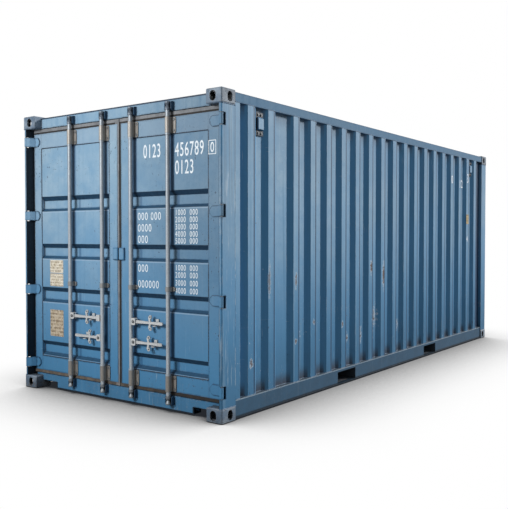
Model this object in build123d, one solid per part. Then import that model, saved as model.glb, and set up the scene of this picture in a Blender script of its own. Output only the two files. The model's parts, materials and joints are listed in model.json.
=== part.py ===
from build123d import *
import os

# Twenty foot dry freight container, millimetres, +Z up.
# X runs from the door end (-X) to the blind end (+X). Y is the width. Z = 0 is the ground.
# "depth" is measured inward from the door end plane, "inset" inward from a side plane.

# Overall size
LENGTH = 6058.0
WIDTH = 2438.0
HEIGHT = 2591.0
DOOR_X = -LENGTH / 2
BLIND_X = LENGTH / 2
RIGHT_Y = -WIDTH / 2

# Corner castings
CASTING_X = 178.0
CASTING_Y = 162.0
CASTING_Z = 118.0
CASTING_PLATE = 28.5
CASTING_WALL = 15.0
CASTING_BACK = 12.0
CASTING_CHAMFER = 8.0
APERTURE_FROM_END = 102.5
APERTURE_FROM_SIDE = 89.5
SLOT_LONG = 124.0
SLOT_WIDE = 63.5
OVAL_TALL = 79.5
OVAL_WIDE = 60.0

# Clearances
GAP = 5.0
PIN_FIT = 0.2
PRESS_FIT = 0.05
OVERCUT = 1.0

# Levels of the main frame
RAIL_STEP = 14.0
RAIL_TOP = HEIGHT - RAIL_STEP
RAIL_BOTTOM = RAIL_STEP
POST_LOW = CASTING_Z
POST_HIGH = HEIGHT - CASTING_Z
HEADER_TALL = 113.0
HEADER_LOW = HEIGHT - HEADER_TALL
SILL_TOP = 136.0
FLOOR_TOP = 165.0
FLOOR_THICK = 28.0
SILL_NOTCH = 200.0
SILL_NOTCH_TALL = 74.0

# Locking bars and the depth of everything that follows from them
BAR_R = 18.0
BAR_DEPTH = 52.0
BAR_OUTER_Y = 611.0
BAR_INNER_Y = 180.0
BAR_Y = (BAR_OUTER_Y, BAR_INNER_Y, -BAR_INNER_Y, -BAR_OUTER_Y)
COLLAR_R = 22.5
COLLAR_TALL = 14.0
COLLAR_GAP = 1.0
CAM_R = 25.0
CAM_RIM_R = 23.0
CAM_RIM_TALL = 12.0
CAM_NECK_R = 13.0
CAM_TALL = 66.0
CAM_LOW = 100.0
CAM_DROP = 75.0
CAM_HIGH = HEIGHT - CAM_DROP
KEEPER_PLATE = 6.0
KEEPER_PLAY = 5.5
KEEPER_GAP = CAM_R + KEEPER_PLAY
KEEPER_CHEEK = 8.0
KEEPER_REACH = 28.0
KEEPER_CHAMFER = 9.0
KEEPER_MARGIN = 3.0
SEAL_DEPTH = BAR_DEPTH + CAM_R + GAP + KEEPER_PLATE

# Doors
DOOR_SET_BACK = 4.0
DOOR_DEPTH = SEAL_DEPTH + DOOR_SET_BACK
DOOR_THICK = 50.0
DOOR_TUBE = 3.2
HEAD_MARGIN = 48.0
SILL_MARGIN = 32.0
DOOR_TOP = HEADER_LOW - HEAD_MARGIN
DOOR_LOW = SILL_TOP + SILL_MARGIN
DOOR_INSET = 45.0
SEAM_HALF = 22.0
SEAM_STILE = 106.0
LEFT_STILE = 106.0
RIGHT_STILE = 165.0
TOP_RAIL = 140.0
LOW_RAIL = 140.0
PANEL_RECESS = 3.0
PANEL_SHEET = 2.0
BAND_DEPTH = 30.0
BAND_TOP_SLOPE = 38.0
BAND_LOW_SLOPE = 24.0
BANDS = ((1690.0, 1828.0), (1242.0, 1380.0), (830.0, 967.0), (321.0, 452.0))
GASKET_DEPTH = 1.5
GASKET_THICK = 30.0
GASKET_SEAM = 4.0

# Door posts
POST_INSET = 5.0
POST_LIP = 33.0
POST_SEAT = 75.0
POST_SHEET = 6.0
POST_CORNER = 8.0
SEAT_GAP = 7.0
SEAT_LAP = 24.0
SEAT_DEPTH = DOOR_DEPTH + DOOR_THICK + SEAT_GAP
POST_DEPTH = CASTING_X

# Hinges
HINGE_COUNT = 4
HINGE_LOW = 241.0
HINGE_DROP = 238.0
HINGE_STEP = (HEIGHT - HINGE_DROP - HINGE_LOW) / (HINGE_COUNT - 1)
HINGE_Z = [HINGE_LOW + HINGE_STEP * i for i in range(HINGE_COUNT)]
HINGE_AT = 16.0
PIN_R = 8.0
KNUCKLE_R = 13.5
BLADE_TALL = 86.0
BLADE_THICK = 12.0
BLADE_START = 74.0
BLADE_HEEL = 9.0
BLADE_CHAMFER = 26.0
LEFT_BLADE = 132.0
RIGHT_BLADE = 190.0
NECK_ROOT = 9.0
NECK_ELBOW = 51.0
NECK_ROOM = 6.0
NOTCH_MARGIN = 7.0
NOTCH_TALL = BLADE_TALL + 2 * NOTCH_MARGIN
NOTCH_DEPTH = 56.0
LUG_THICK = 12.0

# Guides and handles on the doors
GUIDE_R = 23.0
GUIDE_PLATE = 8.0
GUIDE_TALL = 130.0
GUIDE_MARGIN = 5.0
GUIDE_HALF = 58.0
GUIDE_CHAMFER = 9.0
MID_GUIDE_LOW = 998.0
MID_GUIDE_TALL = 37.0
MID_GUIDE_HALF = 48.0
LOW_GUIDE = (DOOR_LOW + GUIDE_MARGIN, DOOR_LOW + GUIDE_MARGIN + GUIDE_TALL)
MID_GUIDE = (MID_GUIDE_LOW, MID_GUIDE_LOW + MID_GUIDE_TALL)
HIGH_GUIDE = (DOOR_TOP - GUIDE_MARGIN - GUIDE_TALL, DOOR_TOP - GUIDE_MARGIN)
HANDLE_HIGH = 726.0
HANDLE_LOW = 551.0
HANDLE_PIN = 40.0
HANDLE_PIN_R = 6.0
HANDLE_EYE_R = 17.0
HANDLE_ROOT = 15.0
HANDLE_WAIST = 10.0
HANDLE_GRIP = 14.0
HANDLE_TALL = 2 * HANDLE_ROOT
HANDLE_THICK = 12.0
LUG_WIDE = 20.0
LUG_RING_R = 16.0
LUG_RISE = 49.0
LUG_LEAN = 13.0
LUG_HOLE_R = 7.0
END_BLOCK_LONG = 46.0
END_BLOCK_TALL = 56.0
END_BLOCK_THICK = 26.0
CLEVIS_TALL = 58.0
CLEVIS_END = 62.0
CLEVIS_HALF = 17.0
CLEVIS_CHAMFER = 6.0
CLEVIS_PLAY = 1.0
BLOCKED_REACH = BAR_OUTER_Y - BAR_INNER_Y - BAR_R - GAP
CATCH_WIDE = 34.0
CATCH_TALL = 64.0
CATCH_SHELF = 8.0
CATCH_STEP = 60.0

# Plates that meet at the door seam
LOCK_PLATE_LOW = 1246.0
LOCK_PLATE_TALL = 106.0
LOCK_PLATE_EDGE = 69.0
LOCK_PLATE_GAP = 6.5
LOCK_PLATE_THICK = 20.0
LOCK_PLATE_CHAMFER = 5.0

# Side rails and corrugated walls
WALL_INSET = 8.0
SIDE_SHEET = 2.0
WAVE_DEPTH = 36.0
WAVE_PITCH = 285.0
WAVE_CREST = 98.0
WAVE_SLOPE = 57.0
END_STRIP = 62.0
STRIP_SLOPE = 30.0
FIRST_CREST = 344.0
WIDE_VALLEY = 98.0
TOP_RAIL_TALL = 75.0
TOP_RAIL_DEEP = 60.0
TOP_RAIL_SHEET = 4.0
SIDE_RAIL_WEB = 6.0
SIDE_RAIL_SHEET = 5.0
SIDE_RAIL_FLANGE = 48.0
WALL_LOW = FLOOR_TOP
WALL_HIGH = RAIL_TOP - TOP_RAIL_TALL

# Fork pockets and cross members
POCKET_SPACING = 2080.0
POCKET_WIDE = 360.0
POCKET_LOW = 20.0
POCKET_SHEET = 6.0
POCKET_STRAP = 220.0
WELD_GAP = 0.4
MEMBER_PITCH = 300.0
MEMBER_WIDE = 45.0
MEMBER_SHEET = 4.0
MEMBER_LOW = 22.0

# Blind end
FRONT_POST_WIDE = 90.0
FRONT_POST_FACE = 60.0
FRONT_RAIL_DEEP = 65.0
FRONT_CREST = 110.0
FRONT_PITCH = 250.0
FRONT_SLOPE = 30.0

# Roof
ROOF_DROP = 15.0
ROOF_LOW = RAIL_TOP - ROOF_DROP
ROOF_SHEET = 2.0
RIB_TALL = 18.0
RIB_WIDE = 130.0
RIB_PITCH = 209.0
RIB_MARGIN = 130.0
RIB_TAPER = 45.0

# Ventilators near the top of the side walls
VENT_TALL = 190.0
VENT_DROP = 313.0
VENT_BASE = 12.0
VENT_BACK = WAVE_PITCH - WAVE_CREST - 2 * WAVE_SLOPE - 2 * GAP
VENT_FACE = VENT_BACK + 2 * VENT_BASE * WAVE_SLOPE / WAVE_DEPTH
VENT_HOOD_TALL = 112.0
VENT_HOOD_MARGIN = 14.0
VENT_HOOD_DEEP = 18.0
VENT_HOOD_SLOPE = 12.0


def block(x0, x1, y0, y1, z0, z1):
    """Box between two corners."""
    middle = Pos((x0 + x1) / 2, (y0 + y1) / 2, (z0 + z1) / 2)
    return middle * Box(x1 - x0, y1 - y0, z1 - z0)


def along_x(points, x0, x1):
    """Bar along X over a (y, z) outline."""
    face = make_face(Polyline(*[(x0, y, z) for y, z in points], close=True))
    return extrude(face, amount=x1 - x0, dir=(1, 0, 0))


def along_y(points, y0, y1):
    """Bar along Y over an (x, z) outline."""
    face = make_face(Polyline(*[(x, y0, z) for x, z in points], close=True))
    return extrude(face, amount=y1 - y0, dir=(0, 1, 0))


def along_z(points, z0, z1):
    """Upright over an (x, y) outline."""
    face = make_face(Polyline(*[(x, y, z0) for x, y in points], close=True))
    return extrude(face, amount=z1 - z0, dir=(0, 0, 1))


def upright(x, y, radius, z0, z1):
    """Vertical cylinder."""
    return Pos(x, y, (z0 + z1) / 2) * Cylinder(radius, z1 - z0)


def cross_pin(x0, x1, y, z, radius):
    """Cylinder along X."""
    return Pos((x0 + x1) / 2, y, z) * Rot(0, 90, 0) * Cylinder(radius, x1 - x0)


def corner(depth0, depth1, inset0, inset1, z0, z1):
    """Box at the right-hand corner of the door end."""
    return block(DOOR_X + depth0, DOOR_X + depth1, RIGHT_Y + inset0, RIGHT_Y + inset1, z0, z1)


def left_of(shape):
    """The same piece on the left-hand side."""
    return mirror(shape, about=Plane.XZ)


def group(shapes):
    """Separate solids that make one piece of the list."""
    return Compound(children=list(shapes))


# Corner castings: hollow blocks with an aperture in each outer face

def corner_casting():
    body = corner(0, CASTING_X, 0, CASTING_Y, 0, CASTING_Z)
    body = chamfer(body.edges(), CASTING_CHAMFER)
    body -= corner(CASTING_WALL, CASTING_X - CASTING_BACK, CASTING_WALL, CASTING_Y - CASTING_BACK,
                   CASTING_PLATE, CASTING_Z - CASTING_BACK)
    x = DOOR_X + APERTURE_FROM_END
    y = RIGHT_Y + APERTURE_FROM_SIDE
    z = CASTING_Z / 2
    slot = Pos(x, y, -OVERCUT) * SlotOverall(SLOT_LONG, SLOT_WIDE)
    body -= extrude(slot, amount=CASTING_PLATE + 2 * OVERCUT, dir=(0, 0, 1))
    end = Plane(origin=(DOOR_X - OVERCUT, y, z), x_dir=(0, 0, 1), z_dir=(1, 0, 0))
    body -= extrude(end * SlotOverall(OVAL_TALL, OVAL_WIDE), amount=CASTING_WALL + 2 * OVERCUT, dir=(1, 0, 0))
    flank = Plane(origin=(x, RIGHT_Y - OVERCUT, z), x_dir=(0, 0, 1), z_dir=(0, 1, 0))
    body -= extrude(flank * SlotOverall(OVAL_TALL, OVAL_WIDE), amount=CASTING_WALL + 2 * OVERCUT, dir=(0, 1, 0))
    return body


def four_castings(one):
    far = mirror(one, about=Plane.YZ)
    return [one, left_of(one), far, left_of(far)]


def raised(one):
    level = Plane(origin=(0, 0, HEIGHT / 2), z_dir=(0, 0, 1))
    return mirror(one, about=level)


# Door posts: a folded section whose front lip carries the hinges

def hinge_pin_z(z):
    half = NOTCH_TALL / 2 + LUG_THICK
    return z - half, z + half


def post_outline(points):
    return [(DOOR_X + depth, RIGHT_Y + inset) for depth, inset in points]


def door_post():
    t = POST_SHEET
    c = POST_CORNER
    outer = [(POST_INSET, POST_INSET + c), (POST_INSET, POST_LIP), (SEAT_DEPTH, POST_LIP),
             (SEAT_DEPTH, POST_SEAT), (POST_DEPTH, POST_SEAT), (POST_DEPTH, POST_INSET),
             (POST_INSET + c, POST_INSET)]
    inner = [(POST_INSET + t, POST_INSET + t + c / 2), (POST_INSET + t, POST_LIP - t),
             (SEAT_DEPTH + t, POST_LIP - t), (SEAT_DEPTH + t, POST_SEAT - t), (POST_DEPTH - t, POST_SEAT - t),
             (POST_DEPTH - t, POST_INSET + t), (POST_INSET + t + c / 2, POST_INSET + t)]
    solid = along_z(post_outline(outer), POST_LOW, POST_HIGH)
    post = solid - along_z(post_outline(inner), POST_LOW, POST_HIGH)
    for z in HINGE_Z:
        low, high = hinge_pin_z(z)
        post += solid & corner(0, NOTCH_DEPTH, 0, POST_LIP, low, high)
        post -= corner(0, NOTCH_DEPTH, 0, POST_LIP, z - NOTCH_TALL / 2, z + NOTCH_TALL / 2)
        post -= upright(DOOR_X + HINGE_AT, RIGHT_Y + HINGE_AT, PIN_R + PRESS_FIT, low, high)
    return post


def hinge_pins():
    pins = []
    for z in HINGE_Z:
        low, high = hinge_pin_z(z)
        pins.append(upright(DOOR_X + HINGE_AT, RIGHT_Y + HINGE_AT, PIN_R, low, high))
    return pins


# Header and sill between the door posts

HALF_CAST = WIDTH / 2 - CASTING_Y
HALF_SEAT = WIDTH / 2 - POST_SEAT
FACE_X = DOOR_X + SEAL_DEPTH
SEAT_X = DOOR_X + SEAT_DEPTH
BACK_X = DOOR_X + POST_DEPTH


def between_castings(section, z0, z1):
    """Beam across the width, cut back where the corner castings stand."""
    beam = along_y(section, -HALF_SEAT, HALF_SEAT)
    for side in (-1, 1):
        y = side * (HALF_CAST + HALF_SEAT) / 2
        half = (HALF_SEAT - HALF_CAST) / 2
        beam -= block(DOOR_X, BACK_X, y - half, y + half, z0, z1)
    return beam


def door_header():
    section = [(FACE_X, HEADER_LOW), (FACE_X, RAIL_TOP), (BACK_X, RAIL_TOP), (BACK_X, DOOR_TOP - SEAT_LAP),
               (SEAT_X, DOOR_TOP - SEAT_LAP), (SEAT_X, HEADER_LOW)]
    t = POST_SHEET
    hollow = block(FACE_X + t, BACK_X - t, -HALF_CAST, HALF_CAST, HEADER_LOW + t, RAIL_TOP - t)
    return between_castings(section, POST_HIGH, HEIGHT) - hollow


def door_sill():
    section = [(FACE_X, RAIL_BOTTOM), (FACE_X, SILL_TOP), (SEAT_X, SILL_TOP), (SEAT_X, FLOOR_TOP),
               (BACK_X, FLOOR_TOP), (BACK_X, RAIL_BOTTOM)]
    t = POST_SHEET
    hollow = block(FACE_X + t, BACK_X - t, -HALF_CAST, HALF_CAST, RAIL_BOTTOM + t, POST_LOW - t)
    body = between_castings(section, 0, POST_LOW) - hollow
    for side in (-1, 1):
        y = side * (HALF_CAST - SILL_NOTCH / 2)
        body -= block(FACE_X, BACK_X, y - SILL_NOTCH / 2, y + SILL_NOTCH / 2, 0, SILL_NOTCH_TALL)
    return body


# Cam keepers on the header and the sill

def keeper(y, z):
    half = CAM_TALL / 2 + KEEPER_MARGIN
    plate_x = FACE_X - KEEPER_PLATE
    outer = KEEPER_GAP + KEEPER_CHEEK
    body = block(plate_x, FACE_X, y - outer, y + outer, z - half, z + half)
    for y0 in (y - outer, y + KEEPER_GAP):
        cheek = block(plate_x - KEEPER_REACH, plate_x, y0, y0 + KEEPER_CHEEK, z - half, z + half)
        front = cheek.edges().filter_by(Axis.Y).group_by(Axis.X)[0]
        body += chamfer(front, KEEPER_CHAMFER)
    return body


# Blind end: posts, rails and a corrugated wall

def front_post():
    outer = [(POST_INSET, POST_INSET), (POST_INSET, FRONT_POST_WIDE), (FRONT_POST_FACE, FRONT_POST_WIDE),
             (FRONT_POST_FACE, FRONT_POST_FACE), (POST_DEPTH, FRONT_POST_FACE), (POST_DEPTH, POST_INSET)]
    t = POST_SHEET
    inner = [(POST_INSET + t, POST_INSET + t), (POST_INSET + t, FRONT_POST_WIDE - t),
             (FRONT_POST_FACE - t, FRONT_POST_WIDE - t), (FRONT_POST_FACE - t, FRONT_POST_FACE - t),
             (POST_DEPTH - t, FRONT_POST_FACE - t), (POST_DEPTH - t, POST_INSET + t)]
    post = along_z([(BLIND_X - e, RIGHT_Y + s) for e, s in outer], POST_LOW, POST_HIGH)
    post -= along_z([(BLIND_X - e, RIGHT_Y + s) for e, s in inner], POST_LOW, POST_HIGH)
    return post


HALF_FRONT = WIDTH / 2 - FRONT_POST_WIDE
FRONT_FACE = BLIND_X - POST_INSET
FRONT_BACK = BLIND_X - FRONT_RAIL_DEEP


def tube_outline(x0, x1, z0, z1):
    return [(x0, z0), (x1, z0), (x1, z1), (x0, z1)]


def front_top_rail():
    t = POST_SHEET
    tube = along_y(tube_outline(FRONT_BACK, FRONT_FACE, POST_HIGH, RAIL_TOP), -HALF_CAST, HALF_CAST)
    bore = tube_outline(FRONT_BACK + t, FRONT_FACE - t, POST_HIGH + t, RAIL_TOP - t)
    return tube - along_y(bore, -HALF_CAST, HALF_CAST)


def front_bottom_rail():
    t = POST_SHEET
    tube = along_y(tube_outline(FRONT_BACK, FRONT_FACE, RAIL_BOTTOM, POST_LOW), -HALF_CAST, HALF_CAST)
    bore = tube_outline(FRONT_BACK + t, FRONT_FACE - t, RAIL_BOTTOM + t, POST_LOW - t)
    curb = along_y(tube_outline(FRONT_BACK, FRONT_FACE, POST_LOW, FLOOR_TOP), -HALF_FRONT, HALF_FRONT)
    return tube - along_y(bore, -HALF_CAST, HALF_CAST) + curb


def wave(path, stop, crests, crest, slope):
    """Path of a corrugated sheet after its first points: (along, depth), crests at depth 0."""
    for at in crests:
        path += [(at - slope, WAVE_DEPTH), (at, 0), (at + crest, 0), (at + crest + slope, WAVE_DEPTH)]
    path.append((stop, WAVE_DEPTH))
    return path


def sheet(path, thick):
    """Closed outline of a sheet that follows a path."""
    return path + [(along, depth + thick) for along, depth in reversed(path)]


def front_wall():
    count = int((2 * HALF_FRONT - FRONT_CREST - 4 * FRONT_SLOPE) // FRONT_PITCH) + 1
    first = -((count - 1) * FRONT_PITCH + FRONT_CREST) / 2
    crests = [first + FRONT_PITCH * i for i in range(count)]
    outline = sheet(wave([(-HALF_FRONT, WAVE_DEPTH)], HALF_FRONT, crests, FRONT_CREST, FRONT_SLOPE), SIDE_SHEET)
    return along_z([(BLIND_X - WALL_INSET - depth, along) for along, depth in outline], FLOOR_TOP, POST_HIGH)


# Side rails and walls

def side_crests():
    last = LENGTH - POST_DEPTH - WAVE_CREST - 2 * WAVE_SLOPE
    crests = [FIRST_CREST, FIRST_CREST + WAVE_PITCH]
    at = FIRST_CREST + 2 * WAVE_PITCH + WIDE_VALLEY
    while at < last:
        crests.append(at)
        at += WAVE_PITCH
    return crests


def side_wall():
    strip = POST_DEPTH + END_STRIP
    first = [(POST_DEPTH, 0), (strip, 0), (strip + STRIP_SLOPE, WAVE_DEPTH)]
    path = wave(first, LENGTH - POST_DEPTH, side_crests(), WAVE_CREST, WAVE_SLOPE)
    outline = sheet(path, SIDE_SHEET)
    points = [(DOOR_X + along, RIGHT_Y + WALL_INSET + depth) for along, depth in outline]
    return along_z(points, WALL_LOW, WALL_HIGH)


RAIL_END = LENGTH / 2 - CASTING_X


def side_top_rail():
    y0 = RIGHT_Y + WALL_INSET
    y1 = y0 + TOP_RAIL_DEEP
    t = TOP_RAIL_SHEET
    tube = along_x(tube_outline(y0, y1, WALL_HIGH, RAIL_TOP), -RAIL_END, RAIL_END)
    return tube - along_x(tube_outline(y0 + t, y1 - t, WALL_HIGH + t, RAIL_TOP - t), -RAIL_END, RAIL_END)


POCKET_X = (-POCKET_SPACING / 2, POCKET_SPACING / 2)
MEMBER_TOP = FLOOR_TOP - FLOOR_THICK
POCKET_TOP = MEMBER_TOP - POCKET_SHEET


def side_bottom_rail():
    y0 = RIGHT_Y + WALL_INSET
    web = y0 + SIDE_RAIL_WEB
    y1 = y0 + SIDE_RAIL_FLANGE
    t = SIDE_RAIL_SHEET
    section = [(y0, FLOOR_TOP), (y1, FLOOR_TOP), (y1, FLOOR_TOP - t), (web + t, FLOOR_TOP - t),
               (web + t, RAIL_BOTTOM + t), (y1, RAIL_BOTTOM + t), (y1, RAIL_BOTTOM), (y0, RAIL_BOTTOM),
               (y0, RAIL_BOTTOM + t), (web, RAIL_BOTTOM + t), (web, FLOOR_TOP - t), (y0, FLOOR_TOP - t)]
    body = along_x(section, -RAIL_END, RAIL_END)
    for x in POCKET_X:
        body -= block(x - POCKET_WIDE / 2, x + POCKET_WIDE / 2, y0, web + t, POCKET_LOW, POCKET_TOP)
    return body


RAIL_FACE = WIDTH / 2 - WALL_INSET - SIDE_RAIL_WEB - SIDE_RAIL_SHEET


def fork_pockets():
    """Welded plates of the two pockets: a top, two sides and a strap under each end."""
    plates = []
    half = POCKET_WIDE / 2
    t = POCKET_SHEET
    g = WELD_GAP
    for x in POCKET_X:
        plates.append(block(x - half - t, x + half + t, -RAIL_FACE, RAIL_FACE, POCKET_TOP, MEMBER_TOP))
        for x0 in (x - half - t, x + half):
            plates.append(block(x0, x0 + t, -RAIL_FACE, RAIL_FACE, POCKET_LOW, POCKET_TOP - g))
        for y0 in (-RAIL_FACE + SIDE_RAIL_FLANGE, RAIL_FACE - SIDE_RAIL_FLANGE - POCKET_STRAP):
            y1 = y0 + POCKET_STRAP
            plates.append(block(x - half - t, x + half + t, y0, y1, POCKET_LOW - t, POCKET_LOW - g))
    return plates


def cross_members():
    first = -RAIL_END + MEMBER_PITCH / 2
    last = RAIL_END - MEMBER_WIDE - GAP
    count = int((last - first) // MEMBER_PITCH) + 1
    step = (last - first) / (count - 1)
    keep = POCKET_WIDE / 2 + POCKET_SHEET + MEMBER_WIDE + GAP
    members = []
    for i in range(count):
        x = first + step * i
        if min(abs(x - at) for at in POCKET_X) < keep:
            continue
        web = block(x, x + MEMBER_SHEET, -RAIL_FACE, RAIL_FACE, MEMBER_LOW, MEMBER_TOP)
        for z in (MEMBER_LOW, MEMBER_TOP - MEMBER_SHEET):
            web += block(x, x + MEMBER_WIDE, -RAIL_FACE, RAIL_FACE, z, z + MEMBER_SHEET)
        members.append(web)
    return members


def plywood_floor():
    half = WIDTH / 2 - WALL_INSET - SIDE_RAIL_FLANGE - GAP
    return block(BACK_X, FRONT_BACK, -half, half, MEMBER_TOP, FLOOR_TOP)


# Roof sheet with pressed ribs across it

def roof_panel():
    half = WIDTH / 2 - WALL_INSET - TOP_RAIL_DEEP
    body = block(-RAIL_END, RAIL_END, -half, half, ROOF_LOW, ROOF_LOW + ROOF_SHEET)
    body += block(RAIL_END, FRONT_BACK, -HALF_CAST, HALF_CAST, ROOF_LOW, ROOF_LOW + ROOF_SHEET)
    count = int((2 * RAIL_END - RIB_WIDE - RIB_PITCH / 2) // RIB_PITCH) + 1
    first = -(count - 1) * RIB_PITCH / 2
    raised_ribs = []
    hollows = []
    for i in range(count):
        foot = Pos(first + RIB_PITCH * i, 0, ROOF_LOW) * Rectangle(RIB_WIDE, 2 * (half - RIB_MARGIN))
        rib = extrude(foot, amount=RIB_TALL, taper=RIB_TAPER)
        hollows.append(rib)
        raised_ribs.append(Pos(0, 0, ROOF_SHEET) * rib)
    return body + raised_ribs - hollows


# Ventilator covers in the side walls

def ventilators():
    """Base blocks that fit the valleys, each with a hood whose top and bottom slope back to the block."""
    crests = side_crests()
    places = ((crests[0] + crests[1] + WAVE_CREST) / 2, (crests[-2] + crests[-1] + WAVE_CREST) / 2)
    back = RIGHT_Y + WALL_INSET + WAVE_DEPTH
    face = back - VENT_BASE
    front = face - VENT_HOOD_DEEP
    bottom = HEIGHT - VENT_DROP
    low = bottom + (VENT_TALL - VENT_HOOD_TALL) / 2
    high = low + VENT_HOOD_TALL
    c = VENT_HOOD_SLOPE
    hood_side = [(face, low), (front, low + c), (front, high - c), (face, high)]
    half = VENT_FACE / 2 - VENT_HOOD_MARGIN
    covers = []
    for along in places:
        x = DOOR_X + along
        plan = [(x - VENT_BACK / 2, back), (x - VENT_FACE / 2, face), (x + VENT_FACE / 2, face),
                (x + VENT_BACK / 2, back)]
        base = along_z(plan, bottom, bottom + VENT_TALL)
        covers.append(base + along_x(hood_side, x - half, x + half))
    return covers


# Doors, built on the right-hand side. The outer stile and the hinge blades differ in width.

LEAF_X = DOOR_X + DOOR_DEPTH
BAR_X = DOOR_X + BAR_DEPTH
LEAF_BACK = LEAF_X + DOOR_THICK
PANEL_X = LEAF_X + PANEL_RECESS
LEAF_EDGE = RIGHT_Y + DOOR_INSET


def door_frame(stile):
    t = DOOR_TUBE
    frame = None
    y0 = LEAF_EDGE + stile
    y1 = -SEAM_HALF - SEAM_STILE
    for side0, side1 in ((LEAF_EDGE, y0), (y1, -SEAM_HALF)):
        tube = block(LEAF_X, LEAF_BACK, side0, side1, DOOR_LOW, DOOR_TOP)
        tube -= block(LEAF_X + t, LEAF_BACK - t, side0 + t, side1 - t, DOOR_LOW, DOOR_TOP)
        frame = tube if frame is None else frame + tube
    for z0, z1 in ((DOOR_LOW, DOOR_LOW + LOW_RAIL), (DOOR_TOP - TOP_RAIL, DOOR_TOP)):
        rail = block(LEAF_X, LEAF_BACK, y0, y1, z0, z1)
        rail -= block(LEAF_X + t, LEAF_BACK, y0, y1, z0 + t, z1 - t)
        frame += rail
    return frame


def door_panel(stile):
    front = PANEL_X
    path = [(front, DOOR_LOW + LOW_RAIL)]
    for z0, z1 in reversed(BANDS):
        path += [(front, z0), (front + BAND_DEPTH, z0 + BAND_LOW_SLOPE)]
        path += [(front + BAND_DEPTH, z1 - BAND_TOP_SLOPE), (front, z1)]
    path.append((front, DOOR_TOP - TOP_RAIL))
    outline = path + [(x + PANEL_SHEET, z) for x, z in reversed(path)]
    return along_y(outline, LEAF_EDGE + stile, -SEAM_HALF - SEAM_STILE)


def door_gasket():
    x0 = LEAF_X + GASKET_DEPTH
    x1 = x0 + GASKET_THICK
    ring = block(x0, x1, RIGHT_Y + POST_LIP + GAP, -GASKET_SEAM, SILL_TOP + GAP, HEADER_LOW - GAP)
    return ring - block(x0, x1, LEAF_EDGE, -SEAM_HALF, DOOR_LOW, DOOR_TOP)


def hinge_blades(end):
    """Cranked blades: a neck from the knuckle back to the door, and a flat tongue along its face."""
    blades = []
    at = HINGE_AT
    face = DOOR_DEPTH - BLADE_THICK
    plan = [(at + NECK_ROOT, at - NECK_ROOT / 2), (at - NECK_ROOT, at + NECK_ROOT), (2 * at, NECK_ELBOW),
            (face, BLADE_START), (face, end), (DOOR_DEPTH, end), (DOOR_DEPTH, DOOR_INSET + BLADE_HEEL),
            (NOTCH_DEPTH - NECK_ROOM, POST_LIP + GAP)]
    points = [(DOOR_X + e, RIGHT_Y + s) for e, s in plan]
    for z in HINGE_Z:
        low = z - BLADE_TALL / 2
        high = z + BLADE_TALL / 2
        blade = along_z(points, low, high)
        tip = RIGHT_Y + end
        c = BLADE_CHAMFER
        for edge, turn in ((low, 1), (high, -1)):
            wedge = [(tip - c, edge), (tip, edge), (tip, edge + turn * c)]
            blade -= along_x(wedge, DOOR_X, LEAF_X)
        blade += upright(DOOR_X + at, RIGHT_Y + at, KNUCKLE_R, low, high)
        blade -= upright(DOOR_X + at, RIGHT_Y + at, PIN_R + PIN_FIT, low, high)
        blades.append(blade)
    return blades


def guide(y, span, half, back):
    """Flange plate on the door with a half round housing over a bar, cut from one section."""
    z0, z1 = span
    flange_x = LEAF_X - GUIDE_PLATE
    flange = Pos((flange_x + back) / 2, y) * Rectangle(back - flange_x, 2 * half)
    neck = Pos((BAR_X + flange_x) / 2, y) * Rectangle(flange_x - BAR_X, 2 * GUIDE_R)
    section = flange + neck + Pos(BAR_X, y) * Circle(GUIDE_R) - Pos(BAR_X, y) * Circle(BAR_R + PIN_FIT)
    body = extrude(Pos(0, 0, z0) * section, amount=z1 - z0)
    corners = [edge for edge in body.edges().filter_by(Axis.X) if abs(edge.center().Y - y) > half - 1]
    return chamfer(corners, GUIDE_CHAMFER)


def bar_guides():
    guides = []
    for y in (-BAR_INNER_Y, -BAR_OUTER_Y):
        guides.append(guide(y, LOW_GUIDE, GUIDE_HALF, LEAF_X))
        guides.append(guide(y, MID_GUIDE, MID_GUIDE_HALF, PANEL_X))
        guides.append(guide(y, HIGH_GUIDE, GUIDE_HALF, LEAF_X))
    return guides


def handle_catch(y, toward, z, lug_at):
    """Plate behind a stowed handle, with a shelf under it."""
    at = y + toward * (lug_at + CATCH_STEP)
    shelf_top = z - HANDLE_TALL / 2 - GAP
    shelf_low = shelf_top - CATCH_SHELF
    flange_x = LEAF_X - GUIDE_PLATE
    tip_x = BAR_X - HANDLE_THICK / 2
    high = z + CATCH_TALL / 2
    low = z - CATCH_TALL / 2
    section = [(PANEL_X, high), (flange_x, high), (flange_x, shelf_top), (tip_x, shelf_top), (tip_x, shelf_low),
               (flange_x, shelf_low), (flange_x, low), (PANEL_X, low)]
    return along_y(section, at - CATCH_WIDE / 2, at + CATCH_WIDE / 2)


def lock_plate():
    plate = block(LEAF_X - LOCK_PLATE_THICK, LEAF_X, -LOCK_PLATE_EDGE, -LOCK_PLATE_GAP,
                  LOCK_PLATE_LOW, LOCK_PLATE_LOW + LOCK_PLATE_TALL)
    return chamfer(plate.faces().sort_by(Axis.X)[0].edges(), LOCK_PLATE_CHAMFER)


# Locking bars with their cams, collars and handle clevises

def cam(y, middle):
    """Waisted cam at a bar's end, turned about the bar's axis, with a web behind its neck."""
    z0 = middle - CAM_TALL / 2
    z1 = middle + CAM_TALL / 2
    rim = CAM_RIM_R
    half_outline = [(0, z0), (rim, z0), (rim, z0 + CAM_RIM_TALL), (CAM_NECK_R, middle),
                    (rim, z1 - CAM_RIM_TALL), (rim, z1), (0, z1)]
    profile = Polyline(*[(BAR_X + out, y, z) for out, z in half_outline], close=True)
    turned = revolve(make_face(profile), Axis((BAR_X, y, 0), (0, 0, 1)))
    web = block(BAR_X, BAR_X + CAM_R, y - CAM_NECK_R, y + CAM_NECK_R, z0, z1)
    return turned + (web & upright(BAR_X, y, CAM_R, z0, z1))


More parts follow.
